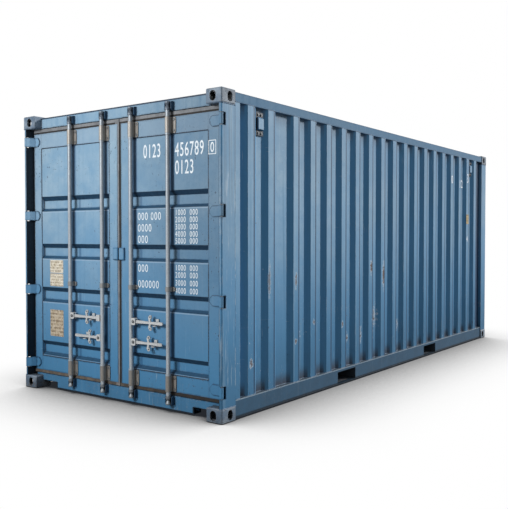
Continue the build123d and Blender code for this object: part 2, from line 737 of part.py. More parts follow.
def clevis(y, toward, z):
    """Forked block on a bar that holds the eye of a handle."""
    root = y + toward * BAR_R / 2
    tip = y + toward * CLEVIS_END
    fork = block(BAR_X - CLEVIS_HALF, BAR_X + CLEVIS_HALF, min(root, tip), max(root, tip),
                 z - CLEVIS_TALL / 2, z + CLEVIS_TALL / 2)
    outer = fork.edges().filter_by(Axis.X).group_by(Axis.Y)[-1 if toward > 0 else 0]
    fork = chamfer(outer, CLEVIS_CHAMFER)
    slot_root = y + toward * (HANDLE_PIN - HANDLE_EYE_R - CLEVIS_PLAY)
    half = HANDLE_THICK / 2 + CLEVIS_PLAY
    fork -= block(BAR_X - half, BAR_X + half, min(slot_root, tip), max(slot_root, tip),
                  z - CLEVIS_TALL / 2, z + CLEVIS_TALL / 2)
    pin = cross_pin(BAR_X - CLEVIS_HALF, BAR_X + CLEVIS_HALF, y + toward * HANDLE_PIN, z, HANDLE_PIN_R)
    return fork + pin


def locking_bar(y, clevises):
    body = upright(BAR_X, y, BAR_R, CAM_LOW + CAM_TALL / 2, CAM_HIGH - CAM_TALL / 2)
    for middle in (CAM_LOW, CAM_HIGH):
        body += cam(y, middle)
    for z0 in (LOW_GUIDE[1] + COLLAR_GAP, HIGH_GUIDE[0] - COLLAR_GAP - COLLAR_TALL):
        body += upright(BAR_X, y, COLLAR_R, z0, z0 + COLLAR_TALL)
    for toward, z in clevises:
        body += clevis(y, toward, z)
    return body


def strap(u0, w0, u1, w1, wide):
    """Flat strap between two points of a handle's own plane."""
    line = Vector(u1 - u0, w1 - w0)
    turn = Rot(0, 0, Vector(1, 0).get_signed_angle(line))
    return Pos((u0 + u1) / 2, (w0 + w1) / 2) * turn * Rectangle(line.length, wide)


def handle(y, toward, z, lug_at, reach, blocked):
    """Lever from the clevis of a bar, waisted where its two seal rings branch off."""
    plane = Plane(origin=(BAR_X - HANDLE_THICK / 2, y, z), x_dir=(0, toward, 0), z_dir=(toward, 0, 0))
    half_top = [(HANDLE_PIN, HANDLE_ROOT), (lug_at - LUG_WIDE, HANDLE_WAIST), (lug_at + LUG_WIDE, HANDLE_WAIST),
                (reach - LUG_WIDE, HANDLE_GRIP), (reach, HANDLE_WAIST)]
    half_low = [(u, -w) for u, w in reversed(half_top)]
    shape = make_face(Polyline(*half_top, *half_low, close=True)) + Pos(HANDLE_PIN, 0) * Circle(HANDLE_EYE_R)
    lean = -toward * LUG_LEAN
    for rise in (-LUG_RISE, LUG_RISE):
        shape += strap(lug_at, 0, lug_at + lean, rise, LUG_WIDE)
        shape += Pos(lug_at + lean, rise) * Circle(LUG_RING_R)
    for rise in (-LUG_RISE, LUG_RISE):
        shape -= Pos(lug_at + lean, rise) * Circle(LUG_HOLE_R)
    shape -= Pos(HANDLE_PIN, 0) * Circle(HANDLE_PIN_R + PIN_FIT)
    body = extrude(plane * shape, amount=HANDLE_THICK, dir=(1, 0, 0))
    if blocked:
        y0 = y + toward * (reach - END_BLOCK_LONG)
        y1 = y + toward * reach
        body += block(BAR_X - END_BLOCK_THICK / 2, BAR_X + END_BLOCK_THICK / 2, min(y0, y1), max(y0, y1),
                      z - END_BLOCK_TALL / 2, z + END_BLOCK_TALL / 2)
    return body


# Handles: bar, direction, height, place of the seal rings, reach, and whether the end is a block.
# Both handles of the right-hand door turn its inner bar.
HANDLES = ((BAR_OUTER_Y, -1, HANDLE_HIGH, 218.0, BLOCKED_REACH, True),
           (BAR_INNER_Y, 1, HANDLE_LOW, 176.0, 360.0, False),
           (-BAR_INNER_Y, -1, HANDLE_HIGH, 217.0, 372.0, False),
           (-BAR_INNER_Y, -1, HANDLE_LOW, 198.0, 364.0, False))

pieces = {}
casting = corner_casting()
pieces["corner_castings_bottom"] = group(four_castings(casting))
pieces["corner_castings_top"] = group(four_castings(raised(casting)))

one_each_side = {
    "door_post": door_post(),
    "side_top_rail": side_top_rail(),
    "side_bottom_rail": side_bottom_rail(),
    "side_wall": side_wall(),
    "door_gasket": door_gasket(),
    "door_lock_plate": lock_plate(),
}
for name, shape in one_each_side.items():
    pieces[name + "_right"] = shape
    pieces[name + "_left"] = left_of(shape)

pieces["door_frame_right"] = door_frame(RIGHT_STILE)
pieces["door_frame_left"] = left_of(door_frame(LEFT_STILE))
pieces["door_panel_right"] = door_panel(RIGHT_STILE)
pieces["door_panel_left"] = left_of(door_panel(LEFT_STILE))
pieces["door_hinges_right"] = group(hinge_blades(RIGHT_BLADE))
pieces["door_hinges_left"] = group([left_of(blade) for blade in hinge_blades(LEFT_BLADE)])
guides = bar_guides()
pieces["bar_guides_right"] = group(guides)
pieces["bar_guides_left"] = group([left_of(shape) for shape in guides])

on_both_sides = {
    "front_posts": [front_post()],
    "hinge_pins": hinge_pins(),
    "ventilators": ventilators(),
}
for name, shapes in on_both_sides.items():
    pieces[name] = group(shapes + [left_of(shape) for shape in shapes])

pieces["handle_catches_left"] = group([handle_catch(*place[:4]) for place in HANDLES[:2]])
pieces["handle_catches_right"] = group([handle_catch(*place[:4]) for place in HANDLES[2:]])
for number, y in enumerate(BAR_Y, 1):
    clevises = [(place[1], place[2]) for place in HANDLES if place[0] == y]
    pieces[f"locking_bar_{number}"] = locking_bar(y, clevises)
for number, place in enumerate(HANDLES, 1):
    pieces[f"handle_{number}"] = handle(*place)

pieces["door_header"] = door_header()
pieces["door_sill"] = door_sill()
pieces["cam_keepers"] = group([keeper(y, z) for y in BAR_Y for z in (CAM_LOW, CAM_HIGH)])
pieces["front_top_rail"] = front_top_rail()
pieces["front_bottom_rail"] = front_bottom_rail()
pieces["front_wall"] = front_wall()
pieces["fork_pockets"] = group(fork_pockets())
pieces["cross_members"] = group(cross_members())
pieces["plywood_floor"] = plywood_floor()
pieces["roof_panel"] = roof_panel()

os.makedirs("parts", exist_ok=True)
for name, shape in pieces.items():
    shape.label = name
    export_step(shape, f"parts/{name}.step")
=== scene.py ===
import bmesh
import bpy
import json
import math
import random
from mathutils import Matrix, Vector

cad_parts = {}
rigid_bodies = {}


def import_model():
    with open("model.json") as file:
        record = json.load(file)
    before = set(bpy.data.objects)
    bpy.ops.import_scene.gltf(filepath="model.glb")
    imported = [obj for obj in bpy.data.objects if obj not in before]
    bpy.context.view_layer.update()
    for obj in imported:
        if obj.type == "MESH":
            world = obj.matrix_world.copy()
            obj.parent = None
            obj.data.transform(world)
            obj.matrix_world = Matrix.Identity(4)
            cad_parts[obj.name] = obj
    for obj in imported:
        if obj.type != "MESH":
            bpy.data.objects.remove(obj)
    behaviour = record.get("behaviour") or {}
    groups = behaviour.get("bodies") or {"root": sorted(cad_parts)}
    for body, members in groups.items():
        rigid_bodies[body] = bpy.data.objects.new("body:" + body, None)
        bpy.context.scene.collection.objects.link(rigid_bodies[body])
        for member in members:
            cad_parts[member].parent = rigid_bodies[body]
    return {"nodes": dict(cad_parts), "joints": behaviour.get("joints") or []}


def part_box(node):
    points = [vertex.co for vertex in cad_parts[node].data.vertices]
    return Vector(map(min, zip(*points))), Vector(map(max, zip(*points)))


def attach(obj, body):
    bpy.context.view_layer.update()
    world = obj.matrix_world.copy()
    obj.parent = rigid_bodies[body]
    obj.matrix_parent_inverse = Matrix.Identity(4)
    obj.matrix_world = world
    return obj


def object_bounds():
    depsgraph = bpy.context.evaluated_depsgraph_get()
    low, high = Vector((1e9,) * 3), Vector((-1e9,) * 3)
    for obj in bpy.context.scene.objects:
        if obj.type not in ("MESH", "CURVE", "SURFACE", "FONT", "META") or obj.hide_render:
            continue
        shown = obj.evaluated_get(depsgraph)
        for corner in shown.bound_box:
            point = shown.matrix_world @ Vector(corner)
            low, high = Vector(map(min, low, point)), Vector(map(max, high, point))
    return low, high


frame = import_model()
CAD_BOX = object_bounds()
NODES = frame["nodes"]
JOINTS = {joint["name"]: joint for joint in frame["joints"]}

# Planes of the container, metres, read from the frame
DOOR_X = CAD_BOX[0].x
BLIND_X = CAD_BOX[1].x
HALF_WIDTH = CAD_BOX[1].y
LEAF_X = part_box("door_frame_right")[0].x
LEAF_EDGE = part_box("door_frame_right")[0].y
LEAF_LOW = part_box("door_frame_right")[0].z
PANEL_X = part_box("door_panel_right")[0].x
PANEL_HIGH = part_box("door_panel_right")[1].z
GASKET_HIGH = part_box("door_gasket_right")[1].z
WALL_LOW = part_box("side_wall_right")[0].z
WALL_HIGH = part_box("side_wall_right")[1].z
POST_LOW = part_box("door_post_right")[0].z
POST_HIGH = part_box("door_post_right")[1].z
CREST_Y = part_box("side_wall_right")[0].y
HEADER_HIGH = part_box("door_header")[1].z
SILL_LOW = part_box("door_sill")[0].z
RAIL_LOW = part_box("side_bottom_rail_right")[0].z
RAIL_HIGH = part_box("side_bottom_rail_right")[1].z
VENT_LOW, VENT_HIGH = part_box("ventilators")
BARS = [Vector(JOINTS[f"bar_{n}_turn"]["pos_m"]) for n in (1, 2, 3, 4)]

# Sizes of the forms that the small pieces, the stains and the painted light and shade follow
GUIDE_FACE = LEAF_X - 0.008
GUIDE_TALL = 0.130
MID_GUIDE_Z = 1.0165
CLEVIS_HALF = 0.017
CLEVIS_LOW = 0.45
CLEVIS_HIGH = 0.85
BAR_REACH = 0.020
GASKET_LIP = 0.027
POST_INSET = 0.005
POST_LIP = 0.033
REAR_POST_FACE = 0.090
SILL_NOTCH_Y = 0.840
SILL_NOTCH_HIGH = 0.074
WAVE_SLOPE = 0.057
VENT_FACE = 0.101

# Sizes of the small pieces: bolts by the radius of the head, beads by their own radius
GUIDE_BOLT = 0.0075
GUIDE_BOLT_ACROSS = 0.042
GUIDE_BOLT_INSET = 0.020
MID_GUIDE_BOLT = 0.006
VENT_BOLT = 0.0085
VENT_BOLT_ACROSS = 0.022
VENT_BOLT_RISE = 0.076
VENT_BOLT_BACK = 0.018
PIN_HEAD = 0.010
WALL_BEAD = 0.0026
POST_BEAD = 0.004
SEAL_BEAD = 0.0052
PLATE_THICK = 0.002
RIVET = 0.003
RIVET_INSET = 0.008
CAPITAL_SHARE = 0.7
FILM_HALF = 0.0002
FILM_LIFT = 0.0004

# Sides, and the outward directions of the door end and of the right-hand wall
LEFT, RIGHT = 1, -1
DOORS = {LEFT: "left_door", RIGHT: "right_door"}
TO_DOOR = (-1, 0, 0)
TO_RIGHT = (0, -1, 0)


def front_edges(node, along, across, plane):
    """Places along one axis at which a pressed sheet leaves and meets its front plane."""
    corners = [vertex.co for vertex in NODES[node].data.vertices]
    return sorted({round(co[along], 4) for co in corners if abs(co[across] - plane) < 1e-4})


# Pressed bands of the door panels, low to high
LEVELS = front_edges("door_panel_right", 2, 0, PANEL_X)
BANDS = list(zip(LEVELS[1:-1:2], LEVELS[2:-1:2]))

# Crests of the side walls behind the flat strip at the door post, with a wide valley after the second
WAVE_EDGES = front_edges("side_wall_right", 0, 1, CREST_Y)
CRESTS = list(zip(WAVE_EDGES[2::2], WAVE_EDGES[3::2]))
WAVE_PITCH = CRESTS[1][0] - CRESTS[0][0]
WIDE_VALLEY = (CRESTS[1][1] + CRESTS[2][0]) / 2
LAST_VALLEY = CRESTS[-1][1] + WAVE_SLOPE


# Shader maths

class Wire:
    """A socket of a material. Arithmetic on it adds Math nodes, or Vector Math nodes to a vector."""

    def __init__(self, tree, socket=None):
        self.tree = tree
        self.socket = socket

    def node(self, kind, settings=None, sockets=None, out=0):
        """Adds a node: first its settings, then a value or a link for each socket named or numbered."""
        made = self.tree.nodes.new("ShaderNode" + kind)
        for name, value in (settings or {}).items():
            setattr(made, name, value)
        for name, value in (sockets or {}).items():
            if isinstance(value, Wire):
                self.tree.links.new(value.socket, made.inputs[name])
            else:
                made.inputs[name].default_value = value
        return Wire(self.tree, made.outputs[out])

    def maths(self, operation, *terms):
        """Adds a Math node, or a Vector Math node where a term is a vector."""
        vector = any(isinstance(term, Wire) and term.socket.type == "VECTOR" for term in terms)
        if not vector:
            return self.node("Math", {"operation": operation}, dict(enumerate(terms)))
        terms = [(term,) * 3 if isinstance(term, (int, float)) else term for term in terms]
        out = 1 if operation in ("LENGTH", "DOT_PRODUCT") else 0
        return self.node("VectorMath", {"operation": operation}, dict(enumerate(terms)), out)

    def __add__(self, other):
        return self.maths("ADD", self, other)

    def __radd__(self, other):
        return self.maths("ADD", other, self)

    def __sub__(self, other):
        return self.maths("SUBTRACT", self, other)

    def __rsub__(self, other):
        return self.maths("SUBTRACT", other, self)

    def __mul__(self, other):
        return self.maths("MULTIPLY", self, other)

    def __rmul__(self, other):
        return self.maths("MULTIPLY", other, self)

    def __abs__(self):
        return self.maths("ABSOLUTE", self)

    def length(self):
        return self.maths("LENGTH", self)

    def most(self, other):
        return self.maths("MAXIMUM", self, other)

    def fract(self):
        return self.maths("FRACT", self)

    def along(self, axis):
        return self.node("SeparateXYZ", None, {0: self}, axis)

    def step(self, low, high):
        """0 below low, 1 above high, and smooth between them. With low above high it falls instead."""
        if low > high:
            return 1 - self.step(high, low)
        span = {"From Min": low, "From Max": high, "Value": self}
        return self.node("MapRange", {"interpolation_type": "SMOOTHSTEP"}, span)

    def within(self, low, high, soft=0.002):
        """1 between low and high, with soft ends."""
        return self.step(low - soft, low + soft) * self.step(high + soft, high - soft)

    def noise(self, scale, detail=3.0, rough=0.55, stretch=(1, 1, 1)):
        """Cloudy value, 0 to 1, over a place. Stretch multiplies the scale along each axis."""
        sockets = {"Vector": self * stretch, "Scale": scale, "Detail": detail, "Roughness": rough}
        return self.node("TexNoise", None, sockets)

    def cells(self, scale):
        """Grains, 0 in the middle of each and rising to its rim."""
        return self.node("TexVoronoi", None, {"Vector": self, "Scale": scale})

    def mix(self, under, over):
        """Colour that goes from under to over with this value."""
        return self.node("Mix", {"data_type": "RGBA"}, {0: self, 6: under, 7: over}, 2)


def paint(code):
    """Linear colour of a six digit colour code."""
    parts = [int(code[i:i + 2], 16) / 255 for i in (0, 2, 4)]
    return tuple(p / 12.92 if p < 0.04045 else ((p + 0.055) / 1.055) ** 2.4 for p in parts) + (1.0,)


class Coat:
    """A material under work: its shader, and the place of each point in the container's own frame."""

    def __init__(self, name):
        self.material = bpy.data.materials.new(name)
        self.material.use_nodes = True
        tree = self.material.node_tree
        self.shader = tree.nodes["Principled BSDF"]
        self.root = Wire(tree)
        self.place = self.root.node("TexCoord", out="Object")

    def edge(self, radius):
        """1 along outer and inner edges of the shape, 0 on its flat faces."""
        rounded = self.root.node("Bevel", {"samples": 6}, {"Radius": radius})
        true = self.root.node("NewGeometry", out="Normal")
        return (1 - rounded.maths("DOT_PRODUCT", rounded, true)).step(0.01, 0.10)

    def flat(self):
        """1 on faces square to an axis of the container, 0 on slopes."""
        turned = abs(self.root.node("NewGeometry", out="True Normal"))
        return turned.along(0).most(turned.along(1)).most(turned.along(2)).step(0.90, 0.97)

    def corner_shade_and_dirt(self, reach):
        """Painted shade and dirt: 1 deep in corners, 0 in the open."""
        shade = self.root.node("AmbientOcclusion", {"samples": 6}, {"Distance": reach}, "AO")
        return shade.step(0.78, 0.25)

    def finish(self, colour, rough, height, depth, metallic=0.0):
        """Sends the finished values to the shader."""
        links = {"Base Color": colour, "Roughness": rough, "Metallic": metallic}
        relief = {"Strength": 1.0, "Distance": depth, "Height": height}
        links["Normal"] = self.root.node("Bump", None, relief)
        for name, value in links.items():
            if isinstance(value, Wire):
                self.root.tree.links.new(value.socket, self.shader.inputs[name])
            else:
                self.shader.inputs[name].default_value = value
        return self.material


# Finishes

# Colours: deep is the blue as new, dusk the blue in grime, rain streaks and painted shade, chalk the faded
# blue and its painted sheen
RUST_DARK = paint("3a2418")
RUST_WARM = paint("5c4130")
GRIME = paint("2b3138")
DEEP = (0.072, 0.238, 0.435, 1.0)
DUSK_AND_SHADE = (0.050, 0.165, 0.298, 1.0)
CHALK_AND_SHEEN = (0.400, 0.520, 0.595, 1.0)
# Shade navy is painted shade, deep in corners and along edges
SHADE_NAVY = paint("17263a")
PRIMER = paint("c4ccd2")


def rust_colour(place):
    """Brown that goes from dark to warm in small clouds."""
    return place.noise(55, 4).step(0.35, 0.65).mix(RUST_DARK, RUST_WARM)


def spot(place, at, size, ragged):
    """Ragged patch: 1 within size of a point, 0 beyond. Size is the reach along each axis."""
    reach = (place - at) * tuple(1 / s for s in size)
    return (reach.length() + ragged).step(1.15, 0.85)


def blue_paint(name, chalk_and_sheen=0.45, grime=0.25, height_shade=0.0, streak=0.3, chips=0.5, edge_shade=0.6, pale=0.1,
               chip_code="1d3246", patches=(), stains=(), flat_only=True, dull=0.42):
    """Worn blue enamel: chalky with a painted sheen that grows with height on flat faces, painted shade
    low down, high up and on slopes, rain streaks, scuffs, chips, painted shade in corners and along edges,
    bare edges, stains and painted light and shade of single parts.
    """
    work = Coat(name)
    place = work.place
    height = place.along(2)
    flat = work.flat() if flat_only else 1.0
    cloud = place.noise(1.1, 4)
    blotch = place.noise(6, 5, 0.6)
    fine = place.noise(38, 5, 0.65)
    runs = place.noise(1.0, 4, 0.6, (21, 21, 0.55))

    colour = (cloud.step(0.35, 0.70) * 0.30).mix(DEEP, DUSK_AND_SHADE)
    # Painted sheen: chalk grows with height on flat faces and thins towards the blind end; slopes keep the
    # deeper blue as painted shade
    far = place.along(0).step(-2.6, 0.6) * 0.34
    mottle = 0.64 + 0.34 * cloud.step(0.35, 0.65) + 0.38 * blotch.step(0.32, 0.68)
    fade_and_sheen = height.step(0.10, 2.10) * flat * chalk_and_sheen * mottle * (1 - far)
    colour = fade_and_sheen.mix(colour, CHALK_AND_SHEEN)
    # Painted shade low down and high up on flat faces
    colour = ((height.step(1.40, 0.15) + height.step(1.75, 2.40) * 0.45) * flat * height_shade).mix(colour, DUSK_AND_SHADE)
    colour = (runs.step(0.52, 0.74) * streak).mix(colour, DUSK_AND_SHADE)
    colour = (runs.step(0.44, 0.28) * flat * streak * 0.4).mix(colour, CHALK_AND_SHEEN)
    colour = (fine.step(0.50, 0.80) * 0.22).mix(colour, DUSK_AND_SHADE)

    scuff = place.noise(1.0, 2, 0.5, (9, 9, 150)).step(0.70, 0.76) * place.noise(2.3).step(0.52, 0.64)
    scrape = place.noise(1.0, 2, 0.5, (130, 130, 5)).step(0.66, 0.74) * place.noise(2.9).step(0.46, 0.60)
    scratches = scuff.most(scrape)
    colour = (scratches * (0.30 + 0.6 * pale)).mix(colour, CHALK_AND_SHEEN)

    soil = height.step(0.75, 0.05) * (0.5 + 0.5 * blotch.step(0.30, 0.70))
    colour = (soil * grime).mix(colour, GRIME)
    # Painted shade, with some dirt, deep in corners
    shade_and_dirt = work.corner_shade_and_dirt(0.05)
    colour = (shade_and_dirt * (0.35 + 0.4 * fine)).mix(colour, SHADE_NAVY)

    # Painted shade along edges and creases
    edge = work.edge(0.016) * blotch.step(0.25, 0.60)
    colour = (edge * edge_shade).mix(colour, SHADE_NAVY)
    flake = place.noise(19, 6, 0.75, (1, 1, 0.4)).step(0.48, 0.58)
    bare = work.edge(0.016) * flake * place.noise(1.6).step(0.44, 0.58)
    colour = (bare * pale).mix(colour, PRIMER)

    ragged = (place.noise(34, 8, 0.8) - 0.5) * 3.0
    grain = place.noise(42, 5, 0.65)
    field = place.noise(1.7, 3).step(0.45, 0.60) * flat
    rim = grain.step(0.650 - 0.05 * chips, 0.665 - 0.05 * chips) * field
    chip = grain.step(0.680 - 0.05 * chips, 0.700 - 0.05 * chips) * field
    colour = (rim * pale).mix(colour, PRIMER)
    colour = chip.mix(colour, paint(chip_code))
    rust = 0.0 * grain
    for at, size, strength in patches:
        worn = spot(place, at, tuple(1.3 * s for s in size), ragged + blotch * 0.6)
        colour = (worn * strength * 0.6).mix(colour, PRIMER)
        rust = rust.most(spot(place, at, size, ragged + fine * 0.8) * strength)
    colour = rust.mix(colour, rust_colour(place))
    # Stains, and painted light and shade
    for mask, code in stains:
        colour = mask(place, fine).mix(colour, paint(code))

    work.shader.inputs["Specular IOR Level"].default_value = 0.2
    rough = dull + 0.16 * fine + 0.10 * shade_and_dirt + 0.25 * rust
    dents = place.noise(2.2, 2)
    relief = dents * 0.9 + fine * 0.08 - rust * 0.22 - scratches * 0.05
    return work.finish(colour, rough, relief, 0.004)


# Stains and painted light and shade of single parts: each gives a mask from the place and a fine cloud

def band_shade(place, fine):
    """Painted shade on the upper slope of each pressed band, and painted shade with dirt on the ledge
    under it.
    """
    height = place.along(2)
    shade = 0.0 * fine
    for low, high in BANDS:
        shade = shade.most(height.within(high - 0.038, high + 0.001))
        shade = shade.most(height.within(low - 0.001, low + 0.022) * 0.85)
    return shade * (0.70 + 0.30 * fine)


def band_highlight(place, fine):
    """Painted highlight along the lower rim of each pressed band."""
    height = place.along(2)
    shine = 0.0 * fine
    for low, high in BANDS:
        shine = shine.most(height.within(low - 0.013, low - 0.005))
    return shine * (0.25 + 0.5 * fine)


def leaf_head(place, fine):
    """Faded paint on the upper rail of each leaf."""
    return place.along(2).step(PANEL_HIGH - 0.004, PANEL_HIGH + 0.002) * (0.25 + 0.3 * fine)


def bar_shadow(place, fine):
    """Painted shadow of the locking bars on the leaf and panel, set further aside in the sunk bands."""
    across = place.along(1)
    sunk = place.along(0).step(PANEL_X + 0.006, PANEL_X + 0.012)
    near = 0.0 * fine
    deep = 0.0 * fine
    for bar in BARS:
        above = across.step(bar.y - 0.046, bar.y - 0.020)
        below = across.step(bar.y + 0.040, bar.y + 0.030)
        near = near.most(above * below)
        deep = deep.most(across.within(bar.y - 0.066, bar.y - 0.036, 0.010))
    return (near * (1 - sunk) + deep * sunk * 0.7) * (0.60 + 0.25 * fine)


def crest_shade_lines(place, fine):
    """Painted shade: dark line down the far edge of each crest of the side walls."""
    wide = 0.022
    along = place.along(0)
    late = along.step(WIDE_VALLEY - 0.01, WIDE_VALLEY + 0.01)
    early = ((along - (CRESTS[0][1] - wide)) * (1 / WAVE_PITCH)).fract().step(0.085, 0.060)
    others = ((along - (CRESTS[2][1] - wide)) * (1 / WAVE_PITCH)).fract().step(0.085, 0.060)
    return (early * (1 - late) + others * late) * (0.55 + 0.4 * fine)


def even_dirt(place, fine):
    """Dirt all over a rail."""
    return 0.45 + 0.25 * fine


def right_shade(place, fine):
    """Painted shade: darker, greyer paint towards the right-hand post."""
    return place.along(1).step(0.30, -1.00) * place.along(2).step(0.20, 1.50) * (0.30 + 0.18 * fine)


def header_head(place, fine):
    """Dark upper edge of the header."""
    return place.along(2).step(HEADER_HIGH - 0.016, HEADER_HIGH - 0.010) * (0.70 + 0.3 * fine)


def sill_foot(place, fine):
    """Dark lower edge of the sill, and painted shade in its notches beside the castings."""
    height = place.along(2)
    edge = height.step(SILL_LOW + 0.012, SILL_LOW + 0.007)
    beside = abs(place.along(1)).step(SILL_NOTCH_Y, SILL_NOTCH_Y + 0.005)
    notch = beside * height.step(SILL_NOTCH_HIGH + 0.001, SILL_NOTCH_HIGH - 0.001)
    return edge.most(notch) * (0.85 + 0.15 * fine)


def keeper_dirt(place, fine):
    """Grease and dirt all over the cam keepers."""
    return 0.70 + 0.25 * fine


def rail_foot(place, fine):
    """Dark lower edge of the bottom rails."""
    return place.along(2).step(RAIL_LOW + 0.024, RAIL_LOW + 0.010) * (0.6 + 0.4 * fine)


def rail_head_highlight(place, fine):
    """Painted highlight along the upper edge of the bottom rails."""
    return place.along(2).step(RAIL_HIGH - 0.016, RAIL_HIGH - 0.011) * (0.55 + 0.4 * fine)


def rail_ledge(place, fine):
    """Dirt on the top of the bottom rails, at the foot of the walls."""
    return place.along(2).step(RAIL_HIGH - 0.004, RAIL_HIGH - 0.002) * (0.70 + 0.3 * fine)


def valleys(place):
    """1 in the valleys of the side walls, 0 on their crests."""
    return abs(place.along(1)).step(HALF_WIDTH - 0.018, HALF_WIDTH - 0.030)


def wall_foot(place, fine):
    """Brown dirt at the foot of the side walls' valleys."""
    return place.along(2).step(WALL_LOW + 0.13, WALL_LOW + 0.01) * valleys(place) * (0.4 + 0.6 * fine)


def wall_head(place, fine):
    """Darker paint at the head of the side walls' valleys, under the top rails."""
    return place.along(2).step(WALL_HIGH - 0.16, WALL_HIGH) * valleys(place) * (0.35 + 0.4 * fine)


def cast_side(place, fine):
    """Darker, greyer outer sides of the top castings."""
    return abs(place.along(1)).step(HALF_WIDTH - 0.004, HALF_WIDTH - 0.002) * (0.25 + 0.4 * fine)


def wall_flecks(place, fine):
    """Pale flecks of bared primer in loose groups on the side walls."""
    group = place.noise(2.6, 3).step(0.54, 0.64)
    return place.noise(60, 3, 0.6, (1, 1, 0.5)).step(0.68, 0.73) * group * 0.7


def wall_specks(place, fine):
    """Dark specks of rust in loose groups, most of them low on the side walls."""
    group = place.noise(2.2, 3).step(0.50, 0.60) * place.along(2).step(1.60, 0.40)
    return place.noise(46, 4, 0.65, (1, 1, 0.45)).step(0.64, 0.69) * group * 0.75


def post_scrapes(place, fine):
    """Long upright scrapes down the outer sides of the door posts."""
    group = place.noise(3.1, 3).step(0.46, 0.60)
    return place.noise(1.0, 3, 0.6, (105, 105, 2.6)).step(0.57, 0.66) * group * 0.65


def post_runs(place, fine):
    """Grey dirt washed down the door posts, most of it high up."""
    runs = place.noise(1.0, 4, 0.6, (80, 80, 0.7)).step(0.40, 0.66)
    return runs * place.along(2).step(0.60, 2.30) * (0.30 + 0.3 * fine)


def seam_shade_line(place, fine):
    """Painted shade: dark line down the right-hand leaf, near its outer edge."""
    edge = LEAF_EDGE + 0.030
    return place.along(1).within(edge, edge + 0.007) * (0.60 + 0.3 * fine)


def rear_post_shadow(place, fine):
    """Painted shadow: dark strip of the side walls next to the blind end post."""
    return place.along(0).step(LAST_VALLEY + 0.002, LAST_VALLEY + 0.027) * (0.80 + 0.2 * fine)


def post_recess_shade(place, fine):
    """Painted shade in the rebate of the door posts behind the lip."""
    lip = HALF_WIDTH - POST_LIP
    return abs(place.along(1)).step(lip + 0.004, lip + 0.001) * (0.90 + 0.10 * fine)


def vent_back(place, fine):
    """Back plate of each ventilator, behind its hood."""
    return abs(place.along(1)).step(VENT_HIGH.y - 0.008, VENT_HIGH.y - 0.014) * (0.85 + 0.15 * fine)


def casting_paint():
    """Thick worn paint on cast blocks: greyer, with bare brown edges, pitted faces and painted shade deep
    in the openings and corners.
    """
    work = Coat("casting_paint")
    place = work.place
    pits = place.noise(70, 6, 0.7)
    cloud = place.noise(7, 5)
    high = place.along(2).step(0.2, 2.4)
    light = high.mix(paint("84919e"), paint("8a9aa9"))
    colour = cloud.step(0.35, 0.65).mix(paint("566b80"), light)
    colour = (pits.step(0.55, 0.75) * 0.5).mix(colour, GRIME)
    bare = work.edge(0.010) * place.noise(26, 5, 0.7).step(0.42, 0.58)
    wear = place.noise(15, 7, 0.7).step(0.57, 0.66)
    colour = (wear * 0.6).mix(colour, place.noise(40, 4).mix(paint("5a4a40"), paint("83786f")))
    colour = (bare * 0.8).mix(colour, place.noise(60, 3).mix(paint("5d5350"), paint("8d8a88")))
    colour = (cast_side(place, pits) * high).mix(colour, GRIME)
    # Painted shade deep in the openings and corners
    shade_and_dirt = work.corner_shade_and_dirt(0.25)
    colour = (shade_and_dirt * 0.97).mix(colour, paint("0b0d10"))
    rough = 0.55 + 0.3 * wear + 0.1 * pits
    relief = pits * 0.5 + cloud * 0.4 - wear * 0.3
    return work.finish(colour, rough, relief, 0.004)


def gear_steel(name, tone, stain=0.5, edge_shade=0.0, dark=(), lug=None, foot=None):
    """Galvanised steel: pale spangled zinc, dull patches, rust stains, painted shade with dark grease in
    the corners and painted shade along edges.

    Dark is bands of (low, high, colour code), lug the colour beside the bars, foot the colour low down.
    """
    work = Coat(name)
    place = work.place
    spangle = place.cells(90)
    fine = place.noise(60, 5, 0.65)
    base = place.along(2).step(0.30, 2.20).mix(paint(foot or tone), paint(tone))
    dull = tuple(c * 0.62 for c in paint(tone)[:3]) + (1.0,)
    colour = (spangle.step(0.2, 0.7) * 0.25).mix(base, dull)
    colour = (place.noise(4.5, 5).step(0.50, 0.72) * 0.4).mix(colour, dull)
    stains = place.noise(9, 6, 0.7, (1, 1, 0.45)).step(0.66 - 0.14 * stain, 0.80 - 0.14 * stain)
    colour = (stains * 0.5).mix(colour, rust_colour(place))
    for low, high, code in dark:
        colour = (place.along(2).within(low, high, 0.005) * 0.65).mix(colour, paint(code))
    if lug:
        near = 0.0 * fine
        for bar in BARS:
            near = near.most(abs(place.along(1) - bar.y).step(BAR_REACH + 0.002, BAR_REACH - 0.002))
        beside = (1 - near) * place.along(2).within(CLEVIS_LOW, CLEVIS_HIGH)
        colour = (beside * 0.9).mix(colour, paint(lug))
    # Painted shade, with grease, deep in corners
    shade_and_dirt = work.corner_shade_and_dirt(0.040)
    colour = (shade_and_dirt * 0.85).mix(colour, paint("1d1c1c"))
    # Painted shade along edges and creases
    rim = work.edge(0.004)
    colour = (rim * edge_shade).mix(colour, paint("2a2c2e"))
    rough = 0.34 + 0.2 * fine + 0.3 * stains
    relief = fine * 0.4 + spangle * 0.15 - stains * 0.2
    metal = 0.30 - 0.30 * stains.most(shade_and_dirt)
    return work.finish(colour, rough, relief, 0.0012, metal)


